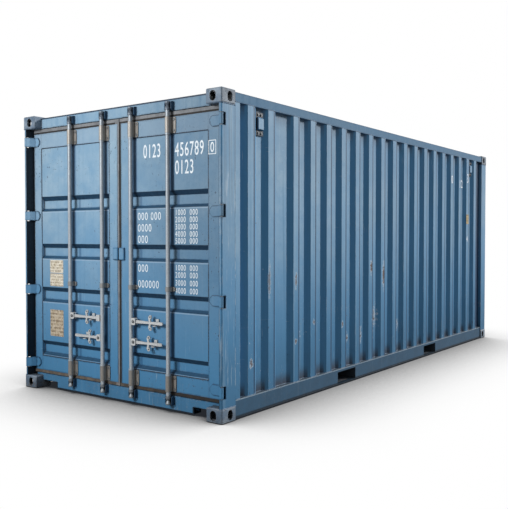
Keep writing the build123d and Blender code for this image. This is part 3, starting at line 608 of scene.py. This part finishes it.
def gasket_rubber():
    """Weathered rubber, dusty and pale on its outer lip, brown along the bottom and dark elsewhere."""
    work = Coat("gasket_rubber")
    place = work.place
    dust = place.noise(12, 6, 0.65)
    across = place.along(1)
    height = place.along(2)
    colour = dust.step(0.40, 0.70).mix(paint("191716"), paint("2e2a27"))
    lip = GASKET_HIGH - GASKET_LIP
    top = height.step(lip - 0.002, lip + 0.002)
    seam = across.within(0.001, 0.050, 0.001)
    grey = dust.step(0.30, 0.70).mix(paint("6f7276"), paint("8d9094"))
    colour = (top.most(seam) * 0.9).mix(colour, grey)
    low = height.step(LEAF_LOW + 0.004, LEAF_LOW - 0.002) * across.step(-0.9, 0.6)
    colour = (low * 0.62).mix(colour, dust.step(0.30, 0.70).mix(paint("5a5048"), paint("857a6d")))
    # Painted shade, with dirt, deep in corners
    colour = (work.corner_shade_and_dirt(0.03) * 0.6).mix(colour, paint("0d0c0b"))
    upright = {"wave_type": "BANDS", "bands_direction": "X"}
    ribs = place.node("TexWave", upright, {"Vector": place, "Scale": 40.0})
    return work.finish(colour, 0.75 + 0.15 * dust, dust * 0.3 + ribs * 0.3, 0.002)


def floor_plywood():
    """Plywood sheets laid along the floor, with grain, dark joints and wheel marks."""
    work = Coat("floor_plywood")
    place = work.place
    grain = place.noise(2.0, 6, 0.6, (1, 28, 28))
    tone = place.noise(3.0, 4)
    colour = grain.step(0.30, 0.70).mix(paint("6d4a2e"), paint("99704a"))
    colour = (tone.step(0.45, 0.75) * 0.6).mix(colour, paint("4a3423"))
    sheet = {"Vector": place, "Scale": 1.0, "Mortar Size": 0.006, "Brick Width": 2.4, "Row Height": 0.386}
    joint = place.node("TexBrick", {"offset": 0.5}, sheet, "Fac")
    colour = joint.mix(colour, paint("1d1612"))
    marks = place.noise(1.0, 3, 0.5, (0.6, 16, 1)).step(0.60, 0.70)
    colour = (marks * 0.45).mix(colour, paint("231c18"))
    return work.finish(colour, 0.6 + 0.2 * grain, grain * 0.5 - joint, 0.002)


def underframe_paint():
    """Dull dark paint under the floor, rusting and dusty."""
    work = Coat("underframe_paint")
    place = work.place
    cloud = place.noise(5, 6, 0.65)
    colour = cloud.step(0.35, 0.70).mix(paint("1c2935"), paint("323d47"))
    rust = place.noise(11, 7, 0.72).step(0.56, 0.68)
    colour = (rust * 0.8).mix(colour, rust_colour(place))
    # Painted shade, with dirt, deep in corners
    colour = (work.corner_shade_and_dirt(0.08) * 0.7).mix(colour, paint("14130f"))
    return work.finish(colour, 0.65 + 0.25 * rust, cloud * 0.5 - rust * 0.2, 0.003)


def weld_paint(name, low, high, rusty):
    """Painted weld metal or sealant, rusting in its ripples."""
    work = Coat(name)
    place = work.place
    ripple = place.noise(140, 3)
    colour = ripple.step(0.3, 0.7).mix(paint(low), paint(high))
    rust = place.noise(8, 6, 0.7).step(0.56, 0.66)
    colour = (rust * rusty).mix(colour, rust_colour(place))
    return work.finish(colour, 0.5 + 0.3 * rust, ripple, 0.002)


def white_marking():
    """Stencilled white paint, worn away in scratches down to the blue."""
    work = Coat("white_marking")
    place = work.place
    worn = place.noise(45, 6, 0.7).step(0.62, 0.70)
    streak = place.noise(1.0, 4, 0.6, (60, 60, 6)).step(0.64, 0.72)
    dull = place.noise(9, 3)
    colour = dull.mix(paint("d3dee6"), paint("eef4f7"))
    colour = worn.most(streak * 0.7).mix(colour, paint("7f9fbd"))
    return work.finish(colour, 0.5 + 0.1 * dull, worn * -0.3, 0.0006)


def data_plate(name, light, dark, ink, rows):
    """Stained bare metal plate with faint ruled rows, so many to a metre."""
    work = Coat(name)
    place = work.place
    stain = place.noise(26, 6, 0.7)
    mottle = place.noise(85, 3, 0.6)
    colour = stain.step(0.35, 0.70).mix(paint(light), paint(dark))
    line = abs((place.along(2) * rows).fract() - 0.5).step(0.30, 0.22)
    broken = place.noise(1.0, 2, 0.5, (1, 70, 30)).step(0.44, 0.54)
    colour = (line * broken * 0.75).mix(colour, paint(ink))
    colour = (mottle.step(0.52, 0.66) * 0.5).mix(colour, paint(ink))
    return work.finish(colour, 0.45 + 0.2 * stain, stain * 0.5 - line * 0.4, 0.0012)


# Rust on the right-hand wall: place, reach and strength
WALL_PATCHES = [
    ((-1.976, CREST_Y, 1.063), (0.022, 0.060, 0.075), 0.7),
    ((-1.876, CREST_Y, 0.574), (0.030, 0.060, 0.040), 0.9),
    ((-1.975, CREST_Y, 0.526), (0.022, 0.060, 0.028), 0.8),
    ((-2.640, CREST_Y, 0.419), (0.026, 0.014, 0.040), 0.8),
    ((-2.384, CREST_Y, 1.080), (0.020, 0.014, 0.160), 0.6),
    ((-1.672, CREST_Y, 0.665), (0.020, 0.060, 0.028), 0.6),
    ((-1.140, CREST_Y, 0.595), (0.018, 0.060, 0.030), 0.8),
    ((-0.990, CREST_Y, 0.450), (0.030, 0.060, 0.055), 1.0),
    ((-0.705, CREST_Y, 0.430), (0.034, 0.060, 0.110), 0.8),
    ((-0.425, CREST_Y, 0.600), (0.080, 0.060, 0.130), 1.0),
    ((-0.430, CREST_Y, 0.420), (0.020, 0.060, 0.070), 0.7),
    ((-0.530, CREST_Y, 1.130), (0.030, 0.060, 0.075), 0.9),
    ((-0.245, CREST_Y, 1.038), (0.034, 0.060, 0.140), 0.9),
    ((0.150, CREST_Y, 0.470), (0.050, 0.060, 0.075), 0.9),
]
# Stains and painted light and shade of each finish
WALL_STAINS_AND_SHADE = [
    (wall_flecks, "c3d0da"), (wall_specks, "352a26"), (crest_shade_lines, "243a54"),
    (wall_foot, "33241c"), (wall_head, "44505f"), (rear_post_shadow, "18304c"),
]
RAIL_STAINS_AND_LIGHT = [
    (even_dirt, "2f3f4e"), (rail_foot, "0e1318"), (rail_head_highlight, "a9bccb"), (rail_ledge, "1a2632"),
]
POST_STAINS_AND_SHADE = [(post_runs, "5d6a76"), (post_scrapes, "b4c3cf"), (post_recess_shade, "0a0d12")]
DOOR_SHADE = [(right_shade, "3a4f63"), (bar_shadow, "234a70")]
BAND_LIGHT_AND_SHADE = DOOR_SHADE + [(band_shade, "16283c"), (band_highlight, "a9c0d4")]
LEAF_STAINS_AND_SHADE = [(leaf_head, "8ea3b6")] + DOOR_SHADE
HEADER_STAINS_AND_SHADE = [(right_shade, "3a4f63"), (header_head, "17263a")]
# Lit and shaded copies of the door paint: the left door carries more painted sheen than the right
LIT_LEFT_DOOR = {"chalk_and_sheen": 0.54, "grime": 0.08, "streak": 0.14, "chips": 0.75}
SHADED_RIGHT_DOOR = {"chalk_and_sheen": 0.40, "grime": 0.08, "streak": 0.14, "chips": 0.75}
BAR_ENDS = ((2.478, 2.600, "2c3d50"), (-0.1, 0.140, "55585a"))
MID_GUIDES = ((0.98, 1.05, "8a8c8c"),)

coats = {
    "wall": blue_paint("wall_paint", chalk_and_sheen=0.46, height_shade=0.8, streak=0.40, chips=0.2, edge_shade=0.10, pale=0.3,
                       chip_code="3c2c24", patches=WALL_PATCHES, stains=WALL_STAINS_AND_SHADE),
    "frame": blue_paint("frame_paint", grime=0.35, height_shade=0.6, streak=0.40, chips=0.6, edge_shade=0.45, pale=0.6,
                        chip_code="4a3a32"),
    "top_rail": blue_paint("top_rail_paint", chalk_and_sheen=0.30, streak=0.4, pale=0.4, chip_code="4a3a32",
                           stains=[(even_dirt, "48637c")], dull=0.70),
    "post": blue_paint("post_paint", chalk_and_sheen=0.34, grime=0.35, height_shade=0.8, streak=0.50, chips=0.4, pale=0.45,
                       chip_code="33302f", stains=POST_STAINS_AND_SHADE),
    "low_frame": blue_paint("low_frame_paint", chalk_and_sheen=0.20, grime=0.40, height_shade=0.9, streak=0.40, chips=0.7,
                            edge_shade=0.3, pale=0.3, chip_code="3f3028", stains=RAIL_STAINS_AND_LIGHT),
    "sill": blue_paint("sill_paint", chalk_and_sheen=0.25, streak=0.40, chips=0.7, edge_shade=0.5, pale=0.3,
                       chip_code="3f3028", stains=[(sill_foot, "0c1016")]),
    "header": blue_paint("header_paint", chalk_and_sheen=0.47, grime=0.2, edge_shade=0.9, pale=0.3, stains=HEADER_STAINS_AND_SHADE),
    "leaf_left": blue_paint("leaf_left_paint", **LIT_LEFT_DOOR, edge_shade=0.8, stains=LEAF_STAINS_AND_SHADE),
    "leaf_right": blue_paint("leaf_right_paint", **SHADED_RIGHT_DOOR, edge_shade=0.8,
                             stains=LEAF_STAINS_AND_SHADE + [(seam_shade_line, "2a4258")]),
    "panel_left": blue_paint("panel_left_paint", **LIT_LEFT_DOOR, edge_shade=0.5, stains=BAND_LIGHT_AND_SHADE),
    "panel_right": blue_paint("panel_right_paint", **SHADED_RIGHT_DOOR, edge_shade=0.5, stains=BAND_LIGHT_AND_SHADE),
    "blade": blue_paint("blade_paint", chalk_and_sheen=0.34, grime=0.2, edge_shade=0.9, chip_code="2a3440",
                        stains=[(right_shade, "3a4f63")], flat_only=False),
    "keeper": blue_paint("keeper_paint", chalk_and_sheen=0.10, chip_code="1d2430", stains=[(keeper_dirt, "1b2c40")]),
    "roof": blue_paint("roof_paint", grime=0.2, streak=0.2, chips=0.8, edge_shade=0.3, pale=0.4,
                       chip_code="4a3a32", dull=0.75),
    "casting": casting_paint(),
    "bar": gear_steel("bar_steel", "8f979e", stain=0.10, dark=BAR_ENDS, lug="d2d4d4", foot="b9c1c7"),
    "gear": gear_steel("gear_steel", "cfd2d3", stain=0.20, edge_shade=0.6),
    "guide": gear_steel("guide_steel", "94908a", edge_shade=0.6, dark=MID_GUIDES),
    "dark_gear": gear_steel("worn_gear_steel", "777a7c", stain=0.8),
    "rubber": gasket_rubber(),
    "plywood": floor_plywood(),
    "underframe": underframe_paint(),
    "vent": blue_paint("vent_paint", edge_shade=0.5, stains=[(vent_back, "131c26")]),
    "weld": weld_paint("weld_paint", "35526d", "557694", rusty=0.7),
    "sealant": weld_paint("sealant_paint", "13202f", "22364a", rusty=0.2),
    "marking": white_marking(),
    "cream_plate": data_plate("cream_plate", "e2dccd", "c9bea6", "8a7a64", rows=36),
    "tan_plate": data_plate("tan_plate", "c9bda9", "a69479", "6f5f4c", rows=30),
    "yellow_plate": data_plate("yellow_plate", "b5a06a", "7d6b42", "5a4c30", rows=40),
}

# Finish of each node, by the start of its name, and "frame" for the rest
COAT_OF = {
    "corner_castings": "casting", "door_header": "header", "door_sill": "sill", "door_post": "post",
    "side_top_rail": "top_rail", "side_bottom_rail": "low_frame", "side_wall": "wall",
    "front_wall": "wall", "roof_panel": "roof", "plywood_floor": "plywood", "ventilators": "vent",
    "cross_members": "underframe", "fork_pockets": "underframe", "cam_keepers": "keeper",
    "hinge_pins": "dark_gear",
    "door_frame_left": "leaf_left", "door_frame_right": "leaf_right", "door_lock_plate": "leaf_right",
    "door_panel_left": "panel_left", "door_panel_right": "panel_right", "door_hinges": "blade",
    "door_gasket": "rubber", "bar_guides": "guide", "locking_bar": "bar", "handle_": "gear",
}
for name, node in NODES.items():
    kinds = [coat for start, coat in COAT_OF.items() if name.startswith(start)]
    node.data.materials.clear()
    node.data.materials.append(coats[kinds[0] if kinds else "frame"])


# Mesh tools

def facing(axis):
    """Turn that takes +Z to an axis."""
    return Vector(axis).to_track_quat("Z", "Y").to_matrix().to_4x4()


def circle(mesh, turn, radius, height, sides):
    """Loop of corners on a circle, at a height along the turned axis."""
    angles = [2 * math.pi * i / sides for i in range(sides)]
    corners = [Vector((radius * math.cos(a), radius * math.sin(a), height)) for a in angles]
    return [mesh.verts.new(turn @ corner) for corner in corners]


def skin(mesh, loops, ring=False):
    """Faces from each loop of corners to the next, with closed ends, or closed round in a ring."""
    sides = len(loops[0])
    following = loops[1:] + loops[:1] if ring else loops[1:]
    for low, high in zip(loops, following):
        for i in range(sides):
            j = (i + 1) % sides
            mesh.faces.new((low[i], low[j], high[j], high[i]))
    if not ring:
        mesh.faces.new(list(reversed(loops[0])))
        mesh.faces.new(loops[-1])


def stack(mesh, at, axis, rings, sides):
    """Turned or many-sided solid: rings of (radius, height) along an axis, closed at both ends."""
    turn = Matrix.Translation(at) @ facing(axis)
    skin(mesh, [circle(mesh, turn, radius, height, sides) for radius, height in rings])


def bolt(mesh, at, axis, size):
    """Hexagon head with a chamfered crown on a round washer. Size is the head's radius."""
    stack(mesh, at, axis, [(1.5 * size, 0), (1.5 * size, 0.22 * size), (1.4 * size, 0.28 * size)], 20)
    stack(mesh, at, axis, [(size, 0.28 * size), (size, 0.85 * size), (0.8 * size, size)], 6)


def rivet(mesh, at, axis, size):
    """Domed rivet head."""
    dome = [(size * math.cos(a), 0.55 * size * math.sin(a)) for a in (0, 0.35, 0.75, 1.15)]
    stack(mesh, at, axis, dome, 14)


def bead(mesh, points, radius, rng, pitch=0.012, sides=6):
    """Weld bead along a line of points, rippled like run metal."""
    path = []
    for a, b in zip(points, points[1:]):
        count = max(1, round((b - a).length / pitch))
        path += [a.lerp(b, i / count) for i in range(count)]
    path.append(points[-1])
    loops = []
    for i, centre in enumerate(path):
        run = (path[min(i + 1, len(path) - 1)] - path[max(i - 1, 0)]).normalized()
        turn = Matrix.Translation(centre) @ facing(run)
        swell = radius * (0.86 + 0.2 * (i % 2) + rng.uniform(-0.1, 0.1))
        loops.append(circle(mesh, turn, swell, 0, sides))
    skin(mesh, loops)


def sheet_plate(mesh, centre, axis, wide, tall, thick, corner=0.006, arc=4):
    """Thin plate with round corners and a softened rim. Its tall side is along Z."""
    across = Vector((abs(axis[1]), abs(axis[0]), 0))
    outline = []
    for sx, sy, start in ((1, 1, 0), (-1, 1, 1), (-1, -1, 2), (1, -1, 3)):
        for i in range(arc + 1):
            a = (start + i / arc) * math.pi / 2
            u = sx * (wide / 2 - corner) + corner * math.cos(a)
            outline.append(across * u + Vector((0, 0, sy * (tall / 2 - corner) + corner * math.sin(a))))
    loops = []
    for shrink, lift in ((1, 0), (1, 0.7 * thick), (1 - 0.6 * thick / wide, thick)):
        loops.append([mesh.verts.new(centre + p * shrink + Vector(axis) * lift) for p in outline])
    skin(mesh, loops)


def piece(name, mesh, body, coat, smooth=False):
    """Turns a mesh under work into a named piece that rides on a body."""
    bmesh.ops.recalc_face_normals(mesh, faces=mesh.faces)
    data = bpy.data.meshes.new(name)
    mesh.to_mesh(data)
    mesh.free()
    for face in data.polygons:
        face.use_smooth = smooth
    data.materials.append(coats[coat])
    made = bpy.data.objects.new(name, data)
    bpy.context.scene.collection.objects.link(made)
    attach(made, body)


# Bolts

def guide_bolts(side):
    """Bolts at the corners of each bar guide, and two on each guide in the middle."""
    mesh = bmesh.new()
    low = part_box("bar_guides_right")[0].z
    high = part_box("bar_guides_right")[1].z - GUIDE_TALL
    for bar in BARS:
        if bar.y * side < 0:
            continue
        for across in (-GUIDE_BOLT_ACROSS, GUIDE_BOLT_ACROSS):
            for base in (low, high):
                for rise in (GUIDE_BOLT_INSET, GUIDE_TALL - GUIDE_BOLT_INSET):
                    bolt(mesh, Vector((GUIDE_FACE, bar.y + across, base + rise)), TO_DOOR, GUIDE_BOLT)
            bolt(mesh, Vector((GUIDE_FACE, bar.y + 0.85 * across, MID_GUIDE_Z)), TO_DOOR, MID_GUIDE_BOLT)
    return mesh


def vent_bolts():
    """Pairs of bolts above and below the hood of each ventilator."""
    mesh = bmesh.new()
    middle = (VENT_LOW.z + VENT_HIGH.z) / 2
    for x in (VENT_LOW.x + VENT_FACE / 2, VENT_HIGH.x - VENT_FACE / 2):
        for side in (LEFT, RIGHT):
            for rise in (-VENT_BOLT_RISE, VENT_BOLT_RISE):
                for across in (-VENT_BOLT_ACROSS, VENT_BOLT_ACROSS):
                    at = Vector((x + across, side * (VENT_HIGH.y - VENT_BOLT_BACK), middle + rise))
                    bolt(mesh, at, (0, side, 0), VENT_BOLT)
    return mesh


for side, body in DOORS.items():
    word = body.split("_")[0]
    piece(f"guide_bolts_{word}", guide_bolts(side), body, "dark_gear")
piece("vent_bolts", vent_bolts(), "container", "dark_gear")

for number in (1, 2, 3, 4):
    lift = JOINTS[f"handle_{number}_lift"]
    pin = Vector(lift["pos_m"]) - Vector((CLEVIS_HALF, 0, 0))
    head = bmesh.new()
    bolt(head, pin, TO_DOOR, PIN_HEAD)
    piece(f"handle_pin_head_{number}", head, lift["parent"], "dark_gear")


# Weld beads

def outer_line(node, along, level, outward):
    """Corners of a sheet's outer face at one level, in order along an axis."""
    rows = {}
    for vertex in NODES[node].data.vertices:
        if abs(vertex.co[level[0]] - level[1]) < 1e-4:
            key = round(vertex.co[along], 4)
            best = rows.get(key)
            if best is None or (vertex.co - best).dot(outward) > 0:
                rows[key] = vertex.co.copy()
    return [rows[key] for key in sorted(rows)]


rng = random.Random(20)
for side, word in ((LEFT, "left"), (RIGHT, "right")):
    seams = bmesh.new()
    for level in (WALL_LOW, WALL_HIGH):
        line = outer_line(f"side_wall_{word}", 0, (2, level), Vector((0, side, 0)))
        bead(seams, line, WALL_BEAD, rng)
    for level in (POST_LOW, POST_HIGH):
        face = side * (HALF_WIDTH - POST_INSET)
        lip = [Vector((DOOR_X + POST_INSET, side * (HALF_WIDTH - POST_LIP), level)),
               Vector((DOOR_X + POST_INSET, face, level)),
               Vector((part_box(f"door_post_{word}")[1].x, face, level))]
        bead(seams, lip, POST_BEAD, rng)
        rear = [Vector((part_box("front_posts")[0].x, face, level)),
                Vector((BLIND_X - POST_INSET, face, level)),
                Vector((BLIND_X - POST_INSET, side * (HALF_WIDTH - REAR_POST_FACE), level))]
        bead(seams, rear, POST_BEAD, rng)
    piece(f"wall_welds_{word}", seams, "container", "weld", True)

    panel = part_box(f"door_panel_{word}")
    seams = bmesh.new()
    for edge in (panel[0].y, panel[1].y):
        bead(seams, outer_line(f"door_panel_{word}", 2, (1, edge), Vector(TO_DOOR)), SEAL_BEAD, rng)
    for level in (panel[0].z, panel[1].z):
        ends = [Vector((PANEL_X, edge, level)) for edge in (panel[0].y, panel[1].y)]
        bead(seams, ends, SEAL_BEAD, rng)
    piece(f"door_panel_welds_{word}", seams, DOORS[side], "sealant", True)


# Bare plates on the left-hand door and on the right-hand wall

def plate_with_rivets(name, rivets, coat, centre, axis, wide, tall, body):
    """Bare plate with a rivet in each corner."""
    mesh = bmesh.new()
    sheet_plate(mesh, centre, axis, wide, tall, PLATE_THICK)
    piece(name, mesh, body, coat)
    heads = bmesh.new()
    across = Vector((abs(axis[1]), abs(axis[0]), 0))
    for u in (-1, 1):
        for w in (-1, 1):
            rise = Vector((0, 0, w * (tall / 2 - RIVET_INSET)))
            at = centre + across * u * (wide / 2 - RIVET_INSET) + rise
            rivet(heads, at + Vector(axis) * 0.95 * PLATE_THICK, axis, RIVET)
    piece(rivets, heads, body, "dark_gear", True)


# Plates of the door: name, finish, lower and upper edge
PLATE_Y = (0.762, 0.952)
PLATES = (("upper_plate_a", "cream_plate", 1.107, 1.228), ("upper_plate_b", "cream_plate", 0.980, 1.101),
          ("lower_plate", "tan_plate", 0.506, 0.757))
for word, coat, low, high in PLATES:
    centre = Vector((PANEL_X, (PLATE_Y[0] + PLATE_Y[1]) / 2, (low + high) / 2))
    plate_with_rivets(word, word.replace("plate", "plate_rivets"), coat, centre, TO_DOOR,
                      PLATE_Y[1] - PLATE_Y[0], high - low, "left_door")
SIDE_PLATE = Vector((2.302, CREST_Y, 1.685))
SIDE_PLATE_WIDE = 0.094
SIDE_PLATE_TALL = 0.130
plate_with_rivets("side_plate", "side_plate_rivets", "yellow_plate", SIDE_PLATE, TO_RIGHT,
                  SIDE_PLATE_WIDE, SIDE_PLATE_TALL, "container")


# Plain numbers on the right-hand door and wall

def numbers(name, text, at, tall, narrow, axis, body, bold=0.008):
    """Plain digits as a thin film of paint. At is the lower left corner as seen from outside."""
    font = bpy.data.curves.new(name, "FONT")
    font.body = text
    font.size = tall / CAPITAL_SHARE
    font.extrude = FILM_HALF
    font.offset = bold * tall
    font.space_character = 1.15
    holder = bpy.data.objects.new(name + "_line", font)
    bpy.context.scene.collection.objects.link(holder)
    bpy.context.view_layer.update()
    data = bpy.data.meshes.new_from_object(holder.evaluated_get(bpy.context.evaluated_depsgraph_get()))
    bpy.data.objects.remove(holder)
    right = Vector((0, -1, 0)) if axis == TO_DOOR else Vector((1, 0, 0))
    turn = Matrix.Identity(4)
    columns = (right * narrow, Vector((0, 0, 1)), Vector(axis), at + Vector(axis) * FILM_LIFT)
    for column, vector in enumerate(columns):
        for row in range(3):
            turn[row][column] = vector[row]
    data.transform(turn)
    data.materials.append(coats["marking"])
    made = bpy.data.objects.new(name, data)
    bpy.context.scene.collection.objects.link(made)
    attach(made, body)
    return made


# Large digits of the door: name, digits, left edge and level of the foot
CODE_TALL = 0.112
CODE_NARROW = 0.575
CODES = (("code_numbers_a", "0123", -0.290, 2.112), ("code_numbers_b", "456789", -0.652, 2.104),
         ("code_numbers_c", "0123", -0.652, 1.960))
for word, text, y, z in CODES:
    numbers(word, text, Vector((PANEL_X, y, z)), CODE_TALL, CODE_NARROW, TO_DOOR, "right_door")

# Single digit on the outer stile, with a frame round it
LAST_FOOT = Vector((LEAF_X, -1.029, 2.114))
LAST_TALL = 0.078
LAST_NARROW = 0.74
FRAME_WIDE = 0.078
FRAME_TALL = 0.112
FRAME_LINE = 0.006
last = numbers("code_numbers_d", "0", LAST_FOOT, LAST_TALL, LAST_NARROW, TO_DOOR, "right_door")


def line_frame(name, inner, wide, tall, line, body):
    """Thin painted frame round the middle of another mark on a door."""
    spots = [vertex.co for vertex in inner.data.vertices]
    middle = [(min(co[axis] for co in spots) + max(co[axis] for co in spots)) / 2 for axis in (1, 2)]
    mesh = bmesh.new()
    loops = []
    film = FILM_LIFT + FILM_HALF
    for lift, shrink in ((0, 0), (film, 0), (film, line), (0, line)):
        reach = (wide / 2 - shrink, tall / 2 - shrink)
        loops.append([mesh.verts.new((LEAF_X - lift, middle[0] + u * reach[0], middle[1] + w * reach[1]))
                      for u, w in ((1, 1), (-1, 1), (-1, -1), (1, -1))])
    skin(mesh, loops, ring=True)
    piece(name, mesh, body, "marking")


line_frame("code_frame", last, FRAME_WIDE, FRAME_TALL, FRAME_LINE, "right_door")

# Table of plain figures: name, left edge, height, and rows of digits with the level of their foot
FIGURE_NARROW = 0.80
TABLE = (
    ("upper_words", -0.222, 0.064, (("000 000", 1.590), ("0000", 1.492), ("000", 1.395))),
    ("lower_words", -0.222, 0.064, (("000", 1.150), ("000000", 1.015))),
    ("upper_figures", -0.652, 0.046, (("1000  000", 1.625), ("2000  000", 1.566), ("3000  000", 1.507),
                                      ("4000  000", 1.448), ("5000  000", 1.392))),
    ("lower_figures", -0.652, 0.046, (("1000  000", 1.172), ("2000  000", 1.113), ("3000  000", 1.048),
                                      ("4000  000", 0.984))),
)
for word, y, tall, rows in TABLE:
    for number, (text, z) in enumerate(rows):
        foot = Vector((PANEL_X, y, z))
        numbers(f"{word}_{number}", text, foot, tall, FIGURE_NARROW, TO_DOOR, "right_door", bold=0.0)

# Digits of the right-hand wall: name, digits, left edge, level of the foot and height
WALL_MARKS = (("wall_numbers_a", "0", 1.705, 2.14, 0.10), ("wall_numbers_b", "12", 1.985, 2.10, 0.10),
              ("wall_numbers_c", "3", 2.270, 2.18, 0.12), ("wall_numbers_d", "4", 2.270, 1.38, 0.08))
for word, text, x, z, tall in WALL_MARKS:
    numbers(word, text, Vector((x, CREST_Y, z)), tall, FIGURE_NARROW, TO_RIGHT, "container")


# Camera at the photograph's angle

IMAGE = (508, 509)
EYE = Vector((-7.3186, -4.6677, 1.4473))
YAW = math.radians(36.244)
PITCH = math.radians(-1.407)
FOCAL_PIXELS = 720.67
SENSOR = 36.0
lens = bpy.data.cameras.new("camera")
lens.sensor_width = SENSOR
lens.lens = FOCAL_PIXELS / max(IMAGE) * SENSOR
camera = bpy.data.objects.new("camera", lens)
camera.location = EYE
look = Vector((math.cos(YAW) * math.cos(PITCH), math.sin(YAW) * math.cos(PITCH), math.sin(PITCH)))
camera.rotation_euler = look.to_track_quat("-Z", "Y").to_euler()
bpy.context.scene.collection.objects.link(camera)
bpy.context.scene.camera = camera


# Light, backdrop and floor

def lamp(name, kind, energy):
    """Makes a lamp, and gives its light and the object that holds it."""
    light = bpy.data.lights.new(name, kind)
    light.energy = energy
    holder = bpy.data.objects.new(name, light)
    bpy.context.scene.collection.objects.link(holder)
    return light, holder


light, holder = lamp("door_light", "AREA", 185)
light.shape = "RECTANGLE"
light.size = 1.4
light.size_y = 1.2
holder.location = (-7.2, 0.5, 2.9)
holder.rotation_euler = (holder.location - Vector((DOOR_X, 0, 1.3))).to_track_quat("Z", "Y").to_euler()
holder.visible_camera = False

light, holder = lamp("wall_light", "SUN", 3.85)
light.angle = math.radians(14)
holder.rotation_euler = Vector((0.75, -0.50, 0.42)).to_track_quat("Z", "Y").to_euler()

FILL = 0.24
world = bpy.data.worlds.new("studio")
world.use_nodes = True
bpy.context.scene.world = world
background = world.node_tree.nodes["Background"]
background.inputs["Color"].default_value = (1, 1, 1, 1)
light_path = Wire(world.node_tree).node("LightPath", out="Is Camera Ray")
ray = light_path.socket.node
seen = light_path.most(Wire(light_path.tree, ray.outputs["Is Glossy Ray"]))
seen = seen.most(Wire(light_path.tree, ray.outputs["Is Transmission Ray"]))
strength = FILL + seen * (1 - FILL)
world.node_tree.links.new(strength.socket, background.inputs["Strength"])


def pale_floor():
    """White floor that glows for the camera, with a painted shadow under and round the object from ambient
    occlusion; other rays see plain grey.
    """
    work = Coat("pale_floor")
    tree = work.root.tree
    work.shader.inputs["Base Color"].default_value = (0.25, 0.25, 0.25, 1)
    work.shader.inputs["Roughness"].default_value = 1.0
    work.shader.inputs["Specular IOR Level"].default_value = 0.0
    shade = work.root.node("AmbientOcclusion", {"samples": 16}, {"Distance": 1.5}, "AO")
    dark = work.root.node("Emission", None, {"Color": (0.02, 0.022, 0.026, 1)})
    white = work.root.node("Emission", None, {"Color": (1, 1, 1, 1)})
    glow_with_painted_shadow = work.root.node("MixShader", None, {0: shade.step(0.23, 0.99), 1: dark, 2: white})
    seen = work.root.node("LightPath", out="Is Camera Ray")
    plain = Wire(tree, work.shader.outputs[0])
    shown = work.root.node("MixShader", None, {0: seen, 1: plain, 2: glow_with_painted_shadow})
    tree.links.new(shown.socket, tree.nodes["Material Output"].inputs["Surface"])
    return work.material


ground = bmesh.new()
bmesh.ops.create_grid(ground, x_segments=4, y_segments=4, size=60)
data = bpy.data.meshes.new("floor")
ground.to_mesh(data)
ground.free()
data.materials.append(pale_floor())
floor = bpy.data.objects.new("floor", data)
bpy.context.scene.collection.objects.link(floor)

bpy.context.scene.view_settings.view_transform = "Standard"
